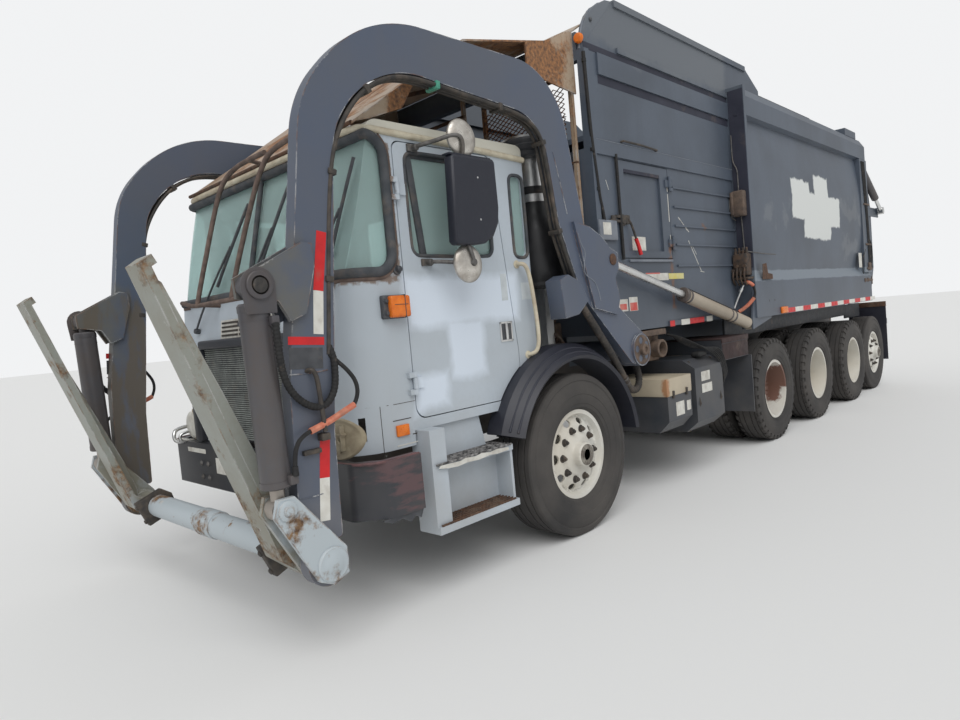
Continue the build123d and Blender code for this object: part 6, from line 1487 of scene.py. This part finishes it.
# Below the hopper: the arms' castings, the shaft's hub, hose bundles, box covers, labels, cables, bands and skirts
castingRim = [at(1.214, armShaft[0] + 0.112 * math.cos(a), armShaft[1] + 0.112 * math.sin(a))
    for a in (2 * math.pi * n / 24 for n in range(24))]
casting = plate(castingRim, (0.016, 0, 0), 0.004, 2)
holes = []
for n in range(5):
    a = 2 * math.pi * n / 5 + 0.5
    holes.append(turned([(-0.02, 0), (-0.02, 0.026), (0.04, 0.026), (0.04, 0)],
            at(1.212, armShaft[0] + 0.07 * math.cos(a), armShaft[1] + 0.07 * math.sin(a)), (1, 0, 0), 16))
cutAway(casting, joined(holes))
shaftEnd = turned([(0, 0), (0, 0.044), (0.03, 0.044), (0.036, 0.036), (0.036, 0.022), (0.026, 0.02), (0.026, 0)],
    at(1.226, *armShaft), (1, 0, 0), 28)
bothSides(tidied(joined([shaftEnd, casting])), "armCasting", "brownSteel", 35, armBodies)
tubeStub = [turned([(0, 0.05), (0, 0.074), (0.092, 0.074), (0.096, 0.068), (0.096, 0.054), (0.02, 0.05)],
        at(1.004, 1.345, 1.13), (1, -0.05, 0), 28), box((0.9, 1.08, 1.03), (1.012, 1.44, 1.245), 0.015),
    box((0.9, 1.06, 1.24), (1.075, 1.46, 1.288), 0.006), box((1.0, 1.09, 1.06), (1.06, 1.19, 1.2), 0.01)]
bothSides(tubeStub, "shaftHub", "brownSteel", 35)
bundlePath = route(((1.2, 0.085, 1.56), (1.205, 0.16, 1.47), (1.21, 0.3, 1.3), (1.205, 0.43, 1.16),
        (1.195, 0.56, 1.0), (1.18, 0.65, 0.9), (1.165, 0.74, 0.862), (1.15, 0.84, 0.88), (1.13, 0.89, 0.96),
        (1.11, 0.88, 1.06), (1.085, 0.85, 1.13)))
bundle = [pipe(bundlePath, 0.024, 8, 10)]
for place, way in alongLine(bundlePath, 60):
    bundle.append(turned([(-0.006, 0.02), (-0.006, 0.0255), (0.0, 0.0275), (0.006, 0.0255), (0.006, 0.02)],
            place, way, 12))
leftBundle = joined(bundle)
rightBundle = mirrored(leftBundle)
for tag, piece, way in (("Left", leftBundle, 1), ("Right", rightBundle, -1)):
    placed(piece, f"hoseBundle{tag}", "hoseGrey", None, 40)
    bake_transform(piece)
ties = [turned([(-0.006, 0.026), (-0.006, 0.031), (0.006, 0.031), (0.006, 0.026)], place, way, 14)
    for place, way in alongLine(bundlePath, 60)[34:37:2]]
bothSides(ties, "bundleTies", "rodSteel", 40, armBodies)

cover = plate(sideLine(0.69, ((1.102, 0.76), (1.098, 0.785), (1.098, 0.902), (1.508, 0.902), (1.508, 0.785),
            (1.504, 0.76))), (0.55, 0, 0), 0.006, 2)
placed(cover, "batteryCover", "coverBeige", "truck", 35)
boxFace = 1.2352
boxPapers = [sideLabel(boxFace, 1.235, 1.37, 0.59, 0.7, 0.0014, 0.0004),
    sideLabel(boxFace, 1.415, 1.48, 0.61, 0.69, 0.0014, 0.0004)]
placed(boxPapers, "batteryLabels", "plateWhite", "truck", 30)
hasp = [box((1.235, 1.4, 0.74), (1.25, 1.425, 0.8), 0.003), box((1.235, 1.18, 0.74), (1.25, 1.205, 0.8), 0.003)]
placed(hasp, "batteryHasps", "steelDark", "truck", 30)
tankPapers = [sideLabel(boxFace, 1.7, 1.86, 0.81, 0.89, 0.0014, 0.0004),
    sideLabel(boxFace, 1.7, 1.89, 0.71, 0.785, 0.0014, 0.0004)]
bothSides(tankPapers, "tankLabels", "plateWhite", 30)
tankBands = [hose(((0.66, y, 1.0035), (1.12, y, 1.0035), (1.238, y, 0.932), (1.238, y, 0.478), (1.122, y, 0.387)),
        0.011, 1, 6, 2) for y in (1.65, 2.05)]
bothSides(tankBands, "tankBands", "steelDark", 35)
cables = []
for n in range(6):
    lift = 0.014 * n
    cables.append(hose(((1.0, 1.56 + lift, 1.235), (1.06, 1.64 + lift, 1.215 - lift),
                (1.13, 1.76 + lift, 1.15 - lift), (1.19, 1.9 + lift, 1.075),
                (1.225, 2.04 + lift * 1.5, 0.985 + lift), (1.238, 2.13 + lift, 0.86),
                (1.225, 2.15 + lift, 0.73 + lift), (1.15, 2.17, 0.65)), 0.006 + 0.001 * (n % 3), 6, 6))
cables.append(box((1.1, 1.8, 1.002), (1.185, 1.95, 1.05), 0.02, 3))
placed(cables, "cableBundle", "hoseBlack", "truck", 40)
toolLid = [box((0.64, 2.195, 1.118), (1.212, 2.78, 1.132), 0.004),
    box((1.204, 2.195, 1.085), (1.212, 2.78, 1.124), 0.003)]
toolLid.append(box((1.2035, 2.206, 0.935), (1.209, 2.766, 1.08), 0.003))
bothSides(toolLid, "toolBoxLid", "toolBrown", 30)
barrelBands = []
armBase, armEye = at(1.1725, 2.932, 1.215), at(1.1725, *armEyePin)
armWay = (armEye - armBase).normalized()
for far, wide in ((0.42, 0.0595), (0.5, 0.0585), (1.3, 0.06)):
    barrelBands.append(turned([(far - 0.012, 0.05), (far - 0.012, wide), (far + 0.012, wide), (far + 0.012, 0.05)],
            armBase, armWay, 32))
barrelBands.append(turned([(1.34, 0.04), (1.34, 0.0615), (1.372, 0.0615), (1.378, 0.054), (1.378, 0.032),
            (1.34, 0.031)], armBase, armWay, 32))
bothSides(barrelBands, "armBarrelBands", "barrelDark", 35, armBarrelBodies)
rearLines = pipe([armBase + armWay * a + Vector((0, 0.0155, 0.062)) for a in (0.3, 0.55, 0.85, 1.2, 1.28)], 0.008, 3,
    8)
bothSides(rearLines, "armBarrelLine", "hoseBlack", 40, armBarrelBodies)
# a lighter pipe along the wavy edge of the arm's eye plate: painted highlight where the edge catches the light
wavyEdge = pipe(sideLine(1.2325, ((0.092, 2.005), (0.116, 1.933), (0.166, 1.881), (0.132, 1.801), (0.133, 1.728),
            (0.233, 1.692), (0.284, 1.623), (0.297, 1.547))), 0.0035, 6, 6)
bothSides(wavyEdge, "armWavyEdge", "bodyHighlight", 40, armBodies)
plugs = turned([(0, 0), (0, 0.04), (0.006, 0.04), (0.012, 0.03), (0.012, 0)], at(1.2325, *armEyePin), (1, 0, 0), 24)
bothSides(plugs, "armEyePins", "rustTread", 35, armBodies)
lidRail = [box((1.0515, 3.79, 3.512), (1.055, 5.448, 3.606), 0.001, 1),
    box((1.01, 3.79, 3.5995), (1.0535, 5.448, 3.608), 0.003)]
bothSides(lidRail, "lidRailEdge", "plateDark", 30)
skirt = box((0.88, 2.96, 1.085), (0.905, 7.0, 1.268), 0.004)
skirt = joined([box((0.88, 6.99, 1.04), (0.905, 7.7, 1.235), 0.004), skirt])
bothSides(skirt, "innerSkirt", "plateDark", 30)
hubHeight = (frontWheelBox[0].z + frontWheelBox[1].z) / 2
ridges = []
for x, r in ((1.202, 0.69), (1.161, 0.7185)):
    ridges.append(pipe(arc(x, (0, hubHeight), r, 8, 15, 11), 0.008, 4, 8))
bothSides(ridges, "fenderRidges", "fenderBlue", 50)
print("chassis dressed")
